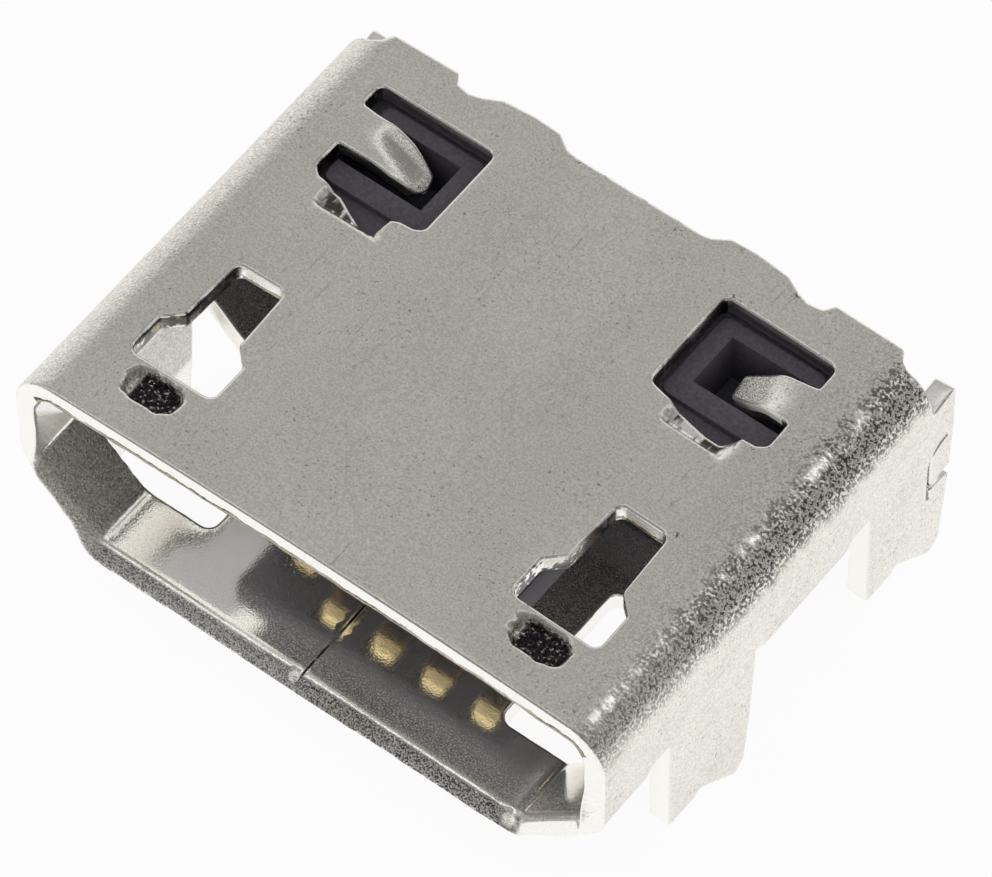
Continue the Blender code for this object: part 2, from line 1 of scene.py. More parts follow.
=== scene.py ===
import math

import bmesh
import bpy
import numpy as np
from mathutils import Matrix, Vector
from mathutils.geometry import delaunay_2d_cdt


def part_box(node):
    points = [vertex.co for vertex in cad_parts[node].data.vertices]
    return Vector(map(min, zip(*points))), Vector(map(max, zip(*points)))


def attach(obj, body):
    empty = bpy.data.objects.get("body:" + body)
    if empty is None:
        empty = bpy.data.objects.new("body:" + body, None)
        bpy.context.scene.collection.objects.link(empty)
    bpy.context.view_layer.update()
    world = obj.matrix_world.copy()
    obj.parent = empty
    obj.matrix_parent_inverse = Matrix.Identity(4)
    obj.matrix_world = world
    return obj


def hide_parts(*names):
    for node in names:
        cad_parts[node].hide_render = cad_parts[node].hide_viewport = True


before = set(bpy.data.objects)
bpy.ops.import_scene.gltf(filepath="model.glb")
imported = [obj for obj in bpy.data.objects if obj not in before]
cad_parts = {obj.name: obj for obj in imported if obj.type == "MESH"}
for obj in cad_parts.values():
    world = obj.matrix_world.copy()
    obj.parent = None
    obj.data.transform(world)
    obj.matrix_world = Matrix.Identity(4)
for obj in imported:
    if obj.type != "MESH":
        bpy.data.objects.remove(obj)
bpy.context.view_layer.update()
print("frame loaded:", sorted(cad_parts))

# Everything below is worked out in millimetres in the socket's own frame:
# x along the mouth, y back from the plane of the mouth, z up from the leg tips.
tailRear = 6.05
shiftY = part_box("contact_2")[1].y * 1000 - tailRear


def toWorld(points):
    # millimetres in the socket's own frame to metres in the shared one
    out = np.array(points, float)
    out[:, 1] += shiftY
    return out / 1000


def linear(hexColour):
    # sRGB hex to linear
    parts = [int(hexColour[i:i + 2], 16) / 255 for i in (0, 2, 4)]
    return tuple(p / 12.92 if p <= 0.04045 else ((p + 0.055) / 1.055) ** 2.4 for p in parts) + (1.0,)


def addNode(tree, kind, *given):
    # a node of a kind, which may carry its operation; its inputs are given in order, or in one dictionary with
    # its properties; a value is set, and a socket or another node's first output is linked
    kind, _, operation = kind.partition(" ")
    node = tree.nodes.new("ShaderNode" + kind)
    if operation:
        node.operation = operation
    given = given[0] if given and isinstance(given[0], dict) else dict(enumerate(given))
    for key, value in given.items():
        if isinstance(value, bpy.types.Node):
            value = value.outputs[0]
        if isinstance(value, bpy.types.NodeSocket):
            tree.links.new(value, node.inputs[key])
        elif isinstance(key, str) and hasattr(node, key):
            setattr(node, key, value)
        else:
            node.inputs[key].default_value = value
    return node


def emptyTree(owner):
    # clears the nodes of a material or world, and gives the function that adds to them
    owner.use_nodes = True
    owner.node_tree.nodes.clear()
    return lambda kind, *given: addNode(owner.node_tree, kind, *given)


def newMaterial(name):
    # an empty material, its adding function, and the place in millimetres, which its patterns read
    material = bpy.data.materials.new(name)
    add = emptyTree(material)
    spot = add("TexCoord")
    return material, add, add("Mapping", {"Scale": (1000, 1000, 1000), "Vector": spot.outputs["Object"]})


def addObject(name, data):
    made = bpy.data.objects.new(name, data)
    bpy.context.scene.collection.objects.link(made)
    return made


def makePiece(name, points, faces, material, attributes=None):
    # a finished piece from its points, faces and the marks its material reads
    mesh = bpy.data.meshes.new(name)
    mesh.from_pydata(toWorld(points), [], faces)
    mesh.update()
    for key, values in (attributes or {}).items():
        mesh.attributes.new(key, "FLOAT", "POINT").data.foreach_set("value", np.asarray(values, np.float32))
    mesh.materials.append(material)
    mesh.shade_smooth()
    piece = addObject(name, mesh)
    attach(piece, "root")
    return piece


def rounded(corners, steps=5, spacing=0.07):
    # closed outline through (a, b, radius) corners: arcs at the corners, straight runs cut to the spacing
    corners = [c if len(c) == 3 else (*c, 0.0) for c in corners]
    spots = [np.array(c[:2], float) for c in corners]
    points = []
    for i, (spot, corner) in enumerate(zip(spots, corners)):
        before = spots[i - 1] - spot
        after = spots[(i + 1) % len(spots)] - spot
        roomBefore, roomAfter = np.linalg.norm(before), np.linalg.norm(after)
        before, after = before / roomBefore, after / roomAfter
        cosine = float(np.clip(before @ after, -1, 1))
        half = math.acos(cosine) / 2
        if corner[2] <= 0 or half > 1.55:
            points.append(spot)
            continue
        reach = min(corner[2] / math.tan(half), 0.48 * roomBefore, 0.48 * roomAfter)
        radius = reach * math.tan(half)
        centre = spot + (before + after) / np.linalg.norm(before + after) * (radius / math.sin(half))
        first, last = spot + before * reach - centre, spot + after * reach - centre
        turn = math.atan2(first[0] * last[1] - first[1] * last[0], first @ last)
        for k in range(steps + 1):
            c, s = math.cos(turn * k / steps), math.sin(turn * k / steps)
            points.append(centre + (first[0] * c - first[1] * s, first[0] * s + first[1] * c))
    dense = []
    for here, ahead in zip(points, points[1:] + points[:1]):
        count = max(1, int(np.linalg.norm(ahead - here) / spacing))
        dense += [here + (ahead - here) * k / count for k in range(count)]
    return np.array(dense)


def smoothStep(low, high, value):
    # 0 before low and 1 past high with an eased rise between, or a fall where low is the larger
    t = np.clip((value - low) / (high - low), 0, 1)
    return t * t * (3 - 2 * t)


def latticeNoise(u, v, cell, seed):
    # random heights on a square lattice, eased between its points, from -1 to 1
    table = np.random.RandomState(seed).uniform(-1, 1, (256, 256))
    a, b = u / cell, v / cell
    i, j = np.floor(a).astype(int), np.floor(b).astype(int)
    fa, fb = a - i, b - j
    fa, fb = fa * fa * (3 - 2 * fa), fb * fb * (3 - 2 * fb)
    corner = lambda di, dj: table[(i + di) % 256, (j + dj) % 256]
    low = corner(0, 0) * (1 - fa) + corner(1, 0) * fa
    high = corner(0, 1) * (1 - fa) + corner(1, 1) * fa
    return low * (1 - fb) + high * fb


# the camera stands where the photograph was taken from, found by matching the corners of the mouth
camera = {
    "azimuth": 38.482, "elevation": 56.357, "roll": -1.0416, "distance": 81.6407,
    "focalPixels": 8141.3, "aim": (0.0, 2.6, 2.22), "slide": (-0.26947, 0.00815), "imageWidth": 992,
    "sensor": 36, "clip": (0.001, 10),
}


def makeCamera(c):
    # back points from the object to the camera, and right and top are turned about it by the roll
    a, e, r = (math.radians(c[k]) for k in ("azimuth", "elevation", "roll"))
    back = Vector((math.sin(a) * math.cos(e), -math.cos(a) * math.cos(e), math.sin(e)))
    flat = Vector((math.cos(a), math.sin(a), 0))
    up = back.cross(flat)
    right = math.cos(r) * flat + math.sin(r) * up
    top = -math.sin(r) * flat + math.cos(r) * up
    spot = Vector(c["aim"]) - right * c["slide"][0] - top * c["slide"][1] + back * c["distance"]
    lens = bpy.data.cameras.new("studioCamera")
    lens.sensor_width = c["sensor"]
    lens.lens = c["focalPixels"] * c["sensor"] / c["imageWidth"]
    lens.clip_start, lens.clip_end = c["clip"]
    made = addObject("studioCamera", lens)
    turned = Matrix((right, top, back)).transposed().to_4x4()
    made.matrix_world = Matrix.Translation(Vector(toWorld([spot])[0])) @ turned
    bpy.context.scene.camera = made


studio = {
    "floorHalf": 400.0, "floorWhite": "FFFFFF", "paper": "F4F4F4", "glowShare": 0.93, "worldLevel": 0.85,
    "stripNormal": (-0.615, 0.765, -0.192), "horizon": 0.02,
    # how bright polished metal finds each part of the studio, by the distance across the strip light
    "bands": ((-0.13, 0.23), (-0.07, 0.96), (0.04, 0.96), (0.11, 0.37), (0.56, 0.38), (0.76, 0.88)),
}


def makeFloor(s):
    # a white sweep: it glows to the camera and in the metal, keeps some of the object's shadow, and is paper to
    # all other light
    half = s["floorHalf"]
    mesh = bpy.data.meshes.new("studioFloor")
    corners = [(-half, -half, 0), (half, -half, 0), (half, half, 0), (-half, half, 0)]
    mesh.from_pydata(toWorld(corners), [], [(0, 1, 2, 3)])
    floor = addObject("studioFloor", mesh)
    material = bpy.data.materials.new("white sweep")
    add = emptyTree(material)
    path = add("LightPath")
    seen = add("Math MAXIMUM", path.outputs["Is Camera Ray"], path.outputs["Is Glossy Ray"])
    seen = add("Math MAXIMUM", seen, path.outputs["Is Transmission Ray"])
    paper = add("BsdfDiffuse", {"Color": linear(s["paper"])})
    glow = add("Emission", {"Color": linear(s["floorWhite"]), "Strength": 1.0})
    lit = add("MixShader", s["glowShare"], paper, glow)
    surface = add("MixShader", seen, paper, lit)
    add("OutputMaterial", surface)
    mesh.materials.append(material)


def makeWorld(s):
    # diffuse light is level all round; polished metal sees a dim room, a strip light and a large softbox
    world = bpy.data.worlds.new("studio")
    bpy.context.scene.world = world
    add = emptyTree(world)
    path = add("LightPath")
    spot = add("TexCoord")
    across = add("VectorMath DOT_PRODUCT", spot.outputs["Generated"], s["stripNormal"])
    share = add("MapRange", across.outputs["Value"], -1.0, 1.0)
    glow = add("ValToRGB", share)
    while len(glow.color_ramp.elements) < len(s["bands"]):
        glow.color_ramp.elements.new(0.5)
    for element, (place, level) in zip(glow.color_ramp.elements, s["bands"]):
        element.position = (place + 1) / 2
        element.color = (level, level, level, 1.0)
    height = add("SeparateXYZ", spot.outputs["Generated"])
    below = add("MapRange", height.outputs["Z"], -s["horizon"], s["horizon"], 1.0, 0.0)
    polished = add("Math MAXIMUM", glow, below)
    level = (s["worldLevel"],) * 3 + (1.0,)
    level = add("MixRGB", path.outputs["Is Glossy Ray"], level, polished)
    seen = add("MixRGB", path.outputs["Is Camera Ray"], level, (1.0, 1.0, 1.0, 1.0))
    back = add("Background", {"Color": seen})
    add("OutputWorld", back)


makeCamera(camera)
makeFloor(studio)
makeWorld(studio)
bpy.context.scene.view_settings.view_transform = "Standard"
print("camera, floor and world ready")


# the scales are counts per millimetre: satin grain 0.024 mm wide, dark specks of 0.04 mm, crystals of 0.033 mm on the
# bends and 0.02 mm along the lip; the real grain is finer, and is drawn as coarse as it needs to be to show
platingLook = {
    "bright": "FBF8F0", "dull": "E2DED4", "grime": "57524B", "burnished": "FFFDF8", "stain": "97856A",
    "grainAndReflectionDark": "57524F", "lipGrainAndReflection": "5A5660", "pitPaintedShade": "221F26", "fractureAndShade": "2A241E", "torn": "B9AA8E",
    "roofRoughness": 0.27, "innerRoughness": 0.07, "grainRoughness": 0.16, "cutRoughness": 0.24,
    "satinPerMm": 42.0, "speckPerMm": 26.0, "crystalPerMm": 30.0, "lipCrystalPerMm": 50.0, "glintPerMm": 24.0,
    "tonePerMm": 0.7, "patchPerMm": 1.3, "wearPerMm": 0.9, "fadePerMm": 1.1, "gleamPerMm": 9.0, "hazePerMm": 60.0,
    "raggedPerMm": (3.5, 22.0), "raggedSize": (0.050, 0.022), "scratch": (11, 0.7, 11), "scratchTurn": 0.6,
    "smear": (12, 4, 4), "lineTop": 0.116, "tornTop": 0.090, "footTop": 0.064, "film": 0.46, "frost": 0.70,
    "fineRelief": 0.0000012, "crystalRelief": 0.0000065,
}


def makePlating(c):
    # bright tin over stamped steel: satin and warm grey outside, mirror-like inside where the punch rubbed it,
    # with fine pebbles, dark specks and hair scratches, and crystals standing up where the sheet was bent hard;
    # painted dark reflection lies in the crystals' valleys, and painted shade in the struck hollows and on cut faces
    # that look into the dark inside
    material, add, place = newMaterial("satin tin plating on pressed steel")
    shade = {key: linear(value) for key, value in c.items() if isinstance(value, str)}
    bend, lip, pit, cut, level, inner, ledge, haze = (
        add("Attribute", {"attribute_name": key}).outputs["Fac"]
        for key in ("bend", "lip", "pit", "cut", "level", "inner", "ledge", "haze"))

    def pattern(scale, low, high, detail=2.0, vector=place):
        # a soft noise whose levels from low to high are spread from 0 to 1
        noise = add("TexNoise", {"Scale": scale, "Detail": detail, "Vector": vector})
        return add("MapRange", noise, low, high)

    # fine satin grain and a slow change of tone over the plates
    colour = add("MixRGB", pattern(c["satinPerMm"], 0.36, 0.64, 1.0), shade["dull"], shade["bright"])
    tone = add("Math MULTIPLY", pattern(c["tonePerMm"], 0.40, 0.70), 0.07)
    colour = add("MixRGB", tone, colour, shade["grime"])
    # small dark specks, thin everywhere and thicker in loose patches, fewer where the sheet is polished
    patches = add("Math ADD", add("Math MULTIPLY", pattern(c["patchPerMm"], 0.42, 0.62), 0.75), 0.25)
    specks = add("Math MULTIPLY", pattern(c["speckPerMm"], 0.62, 0.70), patches)
    dulled = add("Math SUBTRACT", 1.0, add("Math MULTIPLY", inner, 0.7))
    specks = add("Math MULTIPLY", specks, dulled)
    colour = add("MixRGB", add("Math MULTIPLY", specks, 0.60), colour, shade["grime"])
    # hair scratches: thin level lines of a stretched noise
    stretched = add("Mapping", {"Rotation": (0, 0, c["scratchTurn"]), "Scale": c["scratch"], "Vector": place})
    line = add("TexNoise", {"Scale": 1.0, "Detail": 1.0, "Vector": stretched})
    line = add("Math ABSOLUTE", add("Math SUBTRACT", line, 0.5), 0)
    line = add("MapRange", line, 0.004, 0.012, 1.0, 0.0)
    line = add("Math MULTIPLY", line, pattern(c["wearPerMm"], 0.52, 0.66))
    outside = add("Math SUBTRACT", 1.0, inner)
    scratches = add("Math MULTIPLY", line, outside)
    colour = add("MixRGB", add("Math MULTIPLY", scratches, 0.35), colour, shade["grime"])
    # crystals: dark valleys between bright facets on the bends and, finer, along the lip; their darkness is partly
    # real grain and partly painted dark reflection of the room
    rough = add("Math MAXIMUM", add("Math MAXIMUM", bend, lip), pit)
    crystal = pattern(c["crystalPerMm"], 0.42, 0.56, 3.0)
    finer = add("Math SUBTRACT", pattern(c["lipCrystalPerMm"], 0.42, 0.56, 3.0), crystal)
    crystal = add("Math ADD", crystal, add("Math MULTIPLY", lip, finer))
    valleysAndReflection = add("Math SUBTRACT", 1.0, add("Math MULTIPLY", crystal, 0.9))
    valleysAndReflection = add("Math MULTIPLY", rough, valleysAndReflection)
    dark = add("MixRGB", lip, shade["grainAndReflectionDark"], shade["lipGrainAndReflection"])
    colour = add("MixRGB", valleysAndReflection, colour, dark)
    # the ledges are smeared: pale and dark streaks along the shear
    smear = add("Mapping", {"Scale": c["smear"], "Vector": place})
    streak = pattern(1.0, 0.43, 0.58, 2.0, smear)
    streaks = add("MixRGB", streak, shade["grainAndReflectionDark"], shade["burnished"])
    colour = add("MixRGB", ledge, colour, streaks)
    # painted shade: the struck hollows and the burr spots are darkened nearly to black at the bottom, and a few spots
    # are left out of it as painted glints
    hollowShade = add("MapRange", pit, 0.60, 0.95, 0.0, 0.96)
    paintedGlints = add("Math SUBTRACT", 1.0, add("Math MULTIPLY", pattern(c["glintPerMm"], 0.55, 0.61), 0.75))
    colour = add("MixRGB", add("Math MULTIPLY", hollowShade, paintedGlints), colour, shade["pitPaintedShade"])
    # the cut edge: burnished by the punch above a ragged dark line, torn and dull below it; the dark line's colour is
    # also painted as shade over whole cut faces that look into the dark inside, and along the seam
    colour = add("MixRGB", cut, colour, shade["burnished"])
    ragged = level
    for perMm, size in zip(c["raggedPerMm"], c["raggedSize"]):
        swing = add("Math SUBTRACT", pattern(perMm, 0.3, 0.7), 0.5)
        ragged = add("Math ADD", ragged, add("Math MULTIPLY", swing, size))
    strength = add("Math ADD", add("Math MULTIPLY", pattern(c["fadePerMm"], 0.38, 0.56), 0.5), 0.45)
    steps = (("lineTop", strength, "fractureAndShade"), ("tornTop", None, "torn"), ("footTop", 0.7, "fractureAndShade"))
    for step, part, finishKey in steps:
        top = c[step]
        below = add("MapRange", ragged, top - 0.003, top + 0.003, 1.0, 0.0)
        shown = add("Math MULTIPLY", cut, part) if part else cut
        colour = add("MixRGB", add("Math MULTIPLY", below, shown), colour, shade[finishKey])
    # polished brighter by the punch inside the mouth, with a thin brown film in places
    share = add("Math MULTIPLY", inner, add("Math SUBTRACT", 1.0, rough))
    colour = add("MixRGB", share, colour, shade["burnished"])
    stain = add("Math MULTIPLY", inner, pattern(c["wearPerMm"], 0.56, 0.80))
    colour = add("MixRGB", add("Math MULTIPLY", stain, 0.25), colour, shade["stain"])
    # a dull film where the marks ask for it, and frost on the cut edge, both in place of the metal's mirror
    film = add("Math MULTIPLY", add("Math MULTIPLY", haze, c["film"]), pattern(c["hazePerMm"], 0.30, 0.70))
    frost = add("MapRange", level, 1.4, 1.9, 0.0, c["frost"])
    frost = add("Math MULTIPLY", frost, cut)
    film = add("Math MINIMUM", add("Math ADD", film, frost), 1.0)
    metal = add("Math SUBTRACT", 1.0, film)
    # satin outside, polished inside, a finish of its own on the crystals and on the cut edge
    finish = add("MapRange", inner, 0.0, 1.0, c["roofRoughness"], c["innerRoughness"])
    change = add("Math MULTIPLY", rough, add("Math SUBTRACT", c["grainRoughness"], finish))
    finish = add("Math ADD", finish, change)
    finish = add("Math ADD", finish, add("Math MULTIPLY", cut, c["cutRoughness"] - c["roofRoughness"]))
    finish = add("Math ADD", finish, add("Math MULTIPLY", pattern(c["gleamPerMm"], 0.3, 0.7), 0.03))
    # relief: satin grain, specks and scratches cut in, streaks on the ledges, and the crystals on top
    calm = add("Math SUBTRACT", 1.0, add("Math MULTIPLY", inner, 0.4))
    height = add("Math MULTIPLY", pattern(c["satinPerMm"], 0.2, 0.8, 1.0), calm)
    pricked = add("Math MULTIPLY", add("Math ADD", specks, scratches), -2.0)
    height = add("Math ADD", height, pricked)
    smeared = add("Math MULTIPLY", add("Math MULTIPLY", streak, ledge), 8.0)
    height = add("Math ADD", height, smeared)
    fine = add("Bump", {"Strength": 0.5, "Distance": c["fineRelief"], "Height": height})
    facets = add("Math MULTIPLY", crystal, rough)
    strong = add("Bump", {"Strength": 1.0, "Distance": c["crystalRelief"], "Height": facets, "Normal": fine})
    inputs = {"Base Color": colour, "Metallic": metal, "Roughness": finish, "Normal": strong}
    add("OutputMaterial", add("BsdfPrincipled", inputs))
    return material


# grain of 0.03 mm, the size of the glass fibres' ends
plasticLook = {"base": "3D3A42", "pale": "514D57", "roughness": 0.46, "grainPerMm": 30.0, "relief": 0.000004}


def makePlastic(c):
    # glass-filled moulding resin: black with a violet cast, faintly grainy, softly shiny
    material, add, place = newMaterial("black moulded resin")
    grain = add("TexNoise", {"Scale": c["grainPerMm"], "Detail": 3.0, "Vector": place})
    share = add("MapRange", grain, 0.35, 0.75)
    colour = add("MixRGB", share, linear(c["base"]), linear(c["pale"]))
    finish = add("MapRange", grain, 0.0, 1.0, c["roughness"], c["roughness"] + 0.16)
    bump = add("Bump", {"Strength": 0.6, "Distance": c["relief"], "Height": grain})
    add("OutputMaterial", add("BsdfPrincipled", {"Base Color": colour, "Roughness": finish, "Normal": bump}))
    return material


# wear in spots of 0.2 mm, and drawing lines 0.025 mm apart
gildingLook = {
    "base": "FFEAB0", "worn": "F0C878", "bronze": "7D5F3C", "tin": "E6E2D8", "roughness": 0.08, "tinRoughness": 0.24,
    "wearPerMm": 5.0, "drawn": (40, 2, 40), "relief": 0.000001,
}


def makeGilding(c):
    # flash gold over bronze: pale yellow and nearly mirror bright on the nose, bare brown bronze behind it,
    # and tinned for soldering where the strip leaves the insulator
    material, add, place = newMaterial("flash gold on bronze")
    wear = add("TexNoise", {"Scale": c["wearPerMm"], "Detail": 4.0, "Vector": place})
    share = add("MapRange", wear, 0.50, 0.75, 0.0, 0.6)
    plated = add("Attribute", {"attribute_name": "plated"}).outputs["Fac"]
    tinned = add("Attribute", {"attribute_name": "tinned"}).outputs["Fac"]
    colour = add("MixRGB", share, linear(c["base"]), linear(c["worn"]))
    colour = add("MixRGB", plated, linear(c["bronze"]), colour)
    colour = add("MixRGB", tinned, colour, linear(c["tin"]))
    finish = add("MapRange", tinned, 0.0, 1.0, c["roughness"], c["tinRoughness"])
    finish = add("Math MULTIPLY_ADD", share, 0.1, finish)
    drawn = add("Mapping", {"Scale": c["drawn"], "Vector": place})
    lines = add("TexNoise", {"Scale": 1.0, "Detail": 2.0, "Vector": drawn})
    bump = add("Bump", {"Strength": 0.3, "Distance": c["relief"], "Height": lines})
    inputs = {"Base Color": colour, "Metallic": 1.0, "Roughness": finish, "Normal": bump}
    add("OutputMaterial", add("BsdfPrincipled", inputs))
    return material


plating = makePlating(platingLook)
plastic = makePlastic(plasticLook)
gilding = makeGilding(gildingLook)
print("materials ready")


# the contacts: gilded strips with rolled noses and feet bent out behind; an end ring is
# (distance from the end, inset)
contact = {
    "count": 5, "pitch": 0.65, "width": 0.34, "thickness": 0.15, "front": 0.96, "setback": 0.38,
    "under": 2.09, "noseRadius": 0.40, "noseAngle": math.radians(55), "bend": 0.15,
    "tailPlace": 5.42, "tailRear": tailRear, "footZ": 0.86, "corner": 0.035, "coined": 0.16, "coinedTo": 0.22,
    "endRings": ((0.0, 0.028), (0.006, 0.010), (0.018, 0.003)), "endLength": 0.034,
    "platedTo": 0.17, "platedFade": 0.06, "tinnedFrom": 5.30, "tinnedFade": 0.08,
}


def contactPath(c, front):
    # the middle line of the strip in (y, z): nose arc, straight run, quarter bend down, quarter bend back, foot
    half = c["thickness"] / 2
    nose = front + c["noseRadius"]
    t = np.linspace(c["noseAngle"], 0, 12)
    reach = c["noseRadius"] - half
    first = np.stack([nose - reach * np.sin(t), c["under"] + c["noseRadius"] - reach * np.cos(t)], 1)
    run = np.stack([np.linspace(nose, c["tailPlace"] - c["bend"], 14)[1:-1], np.full(12, c["under"] + half)], 1)
    t = np.linspace(0, math.pi / 2, 9)
    reach = c["bend"] + half
    down = np.stack([c["tailPlace"] - c["bend"] + reach * np.sin(t), c["under"] - c["bend"] + reach * np.cos(t)], 1)
    out = c["bend"] + c["thickness"]
    foot = np.stack([c["tailPlace"] + out - reach * np.cos(t), c["footZ"] + out - reach * np.sin(t)], 1)
    drop = np.stack([np.full(6, down[-1, 0]), np.linspace(down[-1, 1], foot[0, 1], 8)[1:-1]], 1)
    last = np.stack([np.linspace(foot[-1, 0], c["tailRear"], 5)[1:], np.full(4, c["footZ"] + half)], 1)
    return np.concatenate([first, run, down, drop, foot, last])


def roundedSection(halfWidth, halfHeight, corner, steps=4):
    # rectangle with round corners, anticlockwise from the lower right
    t = np.linspace(-math.pi / 2, 0, steps)
    ring = []
    for turn, (a, b) in enumerate(((1, -1), (1, 1), (-1, 1), (-1, -1))):
        angle = t + turn * math.pi / 2
        ring.append(np.stack([a * (halfWidth - corner) + corner * np.cos(angle),
                              b * (halfHeight - corner) + corner * np.sin(angle)], 1))
    return np.concatenate(ring)


def buildContact(c, index):
    # the section is carried along the middle line, square to it, narrower at the coined nose
    front = c["front"] + (c["setback"] if index == 0 else 0)
    path = contactPath(c, front)
    along = np.gradient(path, axis=0)
    along /= np.linalg.norm(along, axis=1)[:, None]
    normal = np.stack([-along[:, 1], along[:, 0]], 1)
    section = roundedSection(c["width"] / 2, c["thickness"] / 2, c["corner"])
    length = np.concatenate([[0], np.cumsum(np.linalg.norm(np.diff(path, axis=0), axis=1))])
    coined = 1 - c["coined"] * smoothStep(c["coinedTo"], 0.0, length)
    rings = []
    x = (index - (c["count"] - 1) / 2) * c["pitch"]

    def ring(spot, up, share, inset):
        wide = section[:, 0] * (share * c["width"] / 2 - inset) / (c["width"] / 2)
        high = section[:, 1] * (c["thickness"] / 2 - inset) / (c["thickness"] / 2)
        return np.stack([x + wide, spot[0] + up[0] * high, spot[1] + up[1] * high], 1)

    # the ends are rounded off by rings that shrink
    for reach, inset in c["endRings"]:
        rings.append(ring(path[0] + along[0] * reach, normal[0], coined[0], inset))
    rings.append(ring(path[0] + along[0] * c["endLength"], normal[0], coined[0], 0))
    rings += [ring(path[k], normal[k], coined[k], 0) for k in range(1, len(path) - 1)]
    rings.append(ring(path[-1] - along[-1] * c["endLength"], normal[-1], 1.0, 0))
    for reach, inset in c["endRings"][::-1]:
        rings.append(ring(path[-1] - along[-1] * reach, normal[-1], 1.0, inset))
    points = np.concatenate(rings)
    n = len(section)
    i = np.arange(n)
    j = np.roll(i, -1)
    faces = [tuple(range(n))[::-1], tuple(range(len(points) - n, len(points)))]
    for k in range(len(rings) - 1):
        a, b = k * n, (k + 1) * n
        faces += np.stack([a + i, a + j, b + j, b + i], 1).tolist()
    # gold from the tip to just past the nose, and tin on the foot
    plated = smoothStep(c["platedTo"] + c["platedFade"], c["platedTo"], length)
    ends = len(c["endRings"])
    plated = np.concatenate([[1.0] * ends, plated[:-1], [0.0] * (ends + 1)])
    tinned = smoothStep(c["tinnedFrom"], c["tinnedFrom"] + c["tinnedFade"], points[:, 1])
    marks = {"plated": np.repeat(plated, n), "tinned": tinned}
    piece = makePiece(f"gildedContact{index + 1}", points, faces, gilding, marks)
    mesh = bmesh.new()
    mesh.from_mesh(piece.data)
    bmesh.ops.recalc_face_normals(mesh, faces=mesh.faces)
    mesh.to_mesh(piece.data)
    mesh.free()
    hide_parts(f"contact_{index + 1}")
    return piece


contactPieces = [buildContact(contact, index) for index in range(contact["count"])]
print("contacts bent:", len(contactPieces))


# the insulator: the solid's own shape with moulded, softened edges; weld is in metres
insulator = {"edge": 0.022, "steps": 2, "weld": 0.0000005, "flat": math.radians(2), "sharp": math.radians(35)}


def buildInsulator(c):
    # a welded copy of the solid, its flat faces joined, with a small bevel along every sharp edge
    mesh = bmesh.new()
    mesh.from_mesh(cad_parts["insulator"].data)
    bmesh.ops.remove_doubles(mesh, verts=mesh.verts, dist=c["weld"])
    bmesh.ops.dissolve_limit(mesh, angle_limit=c["flat"], verts=mesh.verts, edges=mesh.edges)
    bmesh.ops.recalc_face_normals(mesh, faces=mesh.faces)
    data = bpy.data.meshes.new("mouldedInsulator")
    mesh.to_mesh(data)
    mesh.free()
    data.materials.append(plastic)
    data.shade_smooth()
    piece = addObject("mouldedInsulator", data)
    bevel = piece.modifiers.new("moulded edges", "BEVEL")
    bevel.width = c["edge"] / 1000
    bevel.segments = c["steps"]
    bevel.limit_method = "ANGLE"
    bevel.angle_limit = c["sharp"]
    bevel.harden_normals = True
    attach(piece, "root")
    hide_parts("insulator")
    return piece


insulatorPiece = buildInsulator(insulator)
print("insulator moulded")


# the shell: one sheet, cut out flat and then folded; pairs hold the right side's value and then the left side's,
# rows are measured back from the mouth, a bead is (place, row, radius), and the rim is (inset, height) down
# the cut edge
sheet = {
    "thickness": 0.25, "halfMouth": 3.45, "halfFloor": 2.68, "floorTop": 1.12, "foldZ": 1.90, "roofUnder": 2.97,
    "roofBend": 0.25, "floorBend": 0.16, "crown": 0.08, "lipRadius": 0.30, "lipAngle": math.radians(55),
    "flarePart": 0.20, "rightPart": 0.80, "leftPart": 0.45, "leftFloorPart": 0.35,
    "seam": -0.05, "seamGap": 0.011, "spare": 1.0, "floorRear": 5.20,
    "legFronts": (1.03, 4.36), "legWidth": 1.44, "legRows": ((1.0, 2.5), (4.33, 5.83)),
    "reliefZ": 1.9756, "reliefPlay": 0.01, "openingInner": 1.85, "openingFront": 0.70, "openingRear": 2.59,
    "slotPlace": 2.385, "slotShift": 0.01, "windowPlace": 2.14, "windowHalf": 0.69,
    "pitPlace": 2.415, "pitRow": 0.61, "pitHalf": (0.345, 0.20), "pitPower": 3.2, "pitDepth": 0.115,
    "ledgeShift": (0.15, 0.06), "ledgeDepth": 0.09,
    "tabRoot": 2.83, "tabBend": (0.72, 1.10), "tabAngle": (math.radians(40), math.radians(42)), "tabLength": 1.08,
    "tabRows": (3.98, 4.76), "tabMiddle": 4.33, "tabDish": 1.0,
    "seamBead": (0.12, -0.14, 0.055), "cornerBead": (0.02, -0.17, 0.075), "beadHeight": 0.055,
    "glintPlace": 3.283, "lineShift": 0.040, "shadedRoofLevel": 0.109, "shadedFloorLevel": 0.113, "frostMark": 2.0,
    "rim": ((0.040, 0.250), (0.028, 0.249), (0.013, 0.244), (0.004, 0.235), (0.000, 0.220), (0.000, 0.160),
            (0.001, 0.110), (0.004, 0.060), (0.003, 0.028), (0.008, 0.010), (0.018, 0.002), (0.034, 0.000)),
}


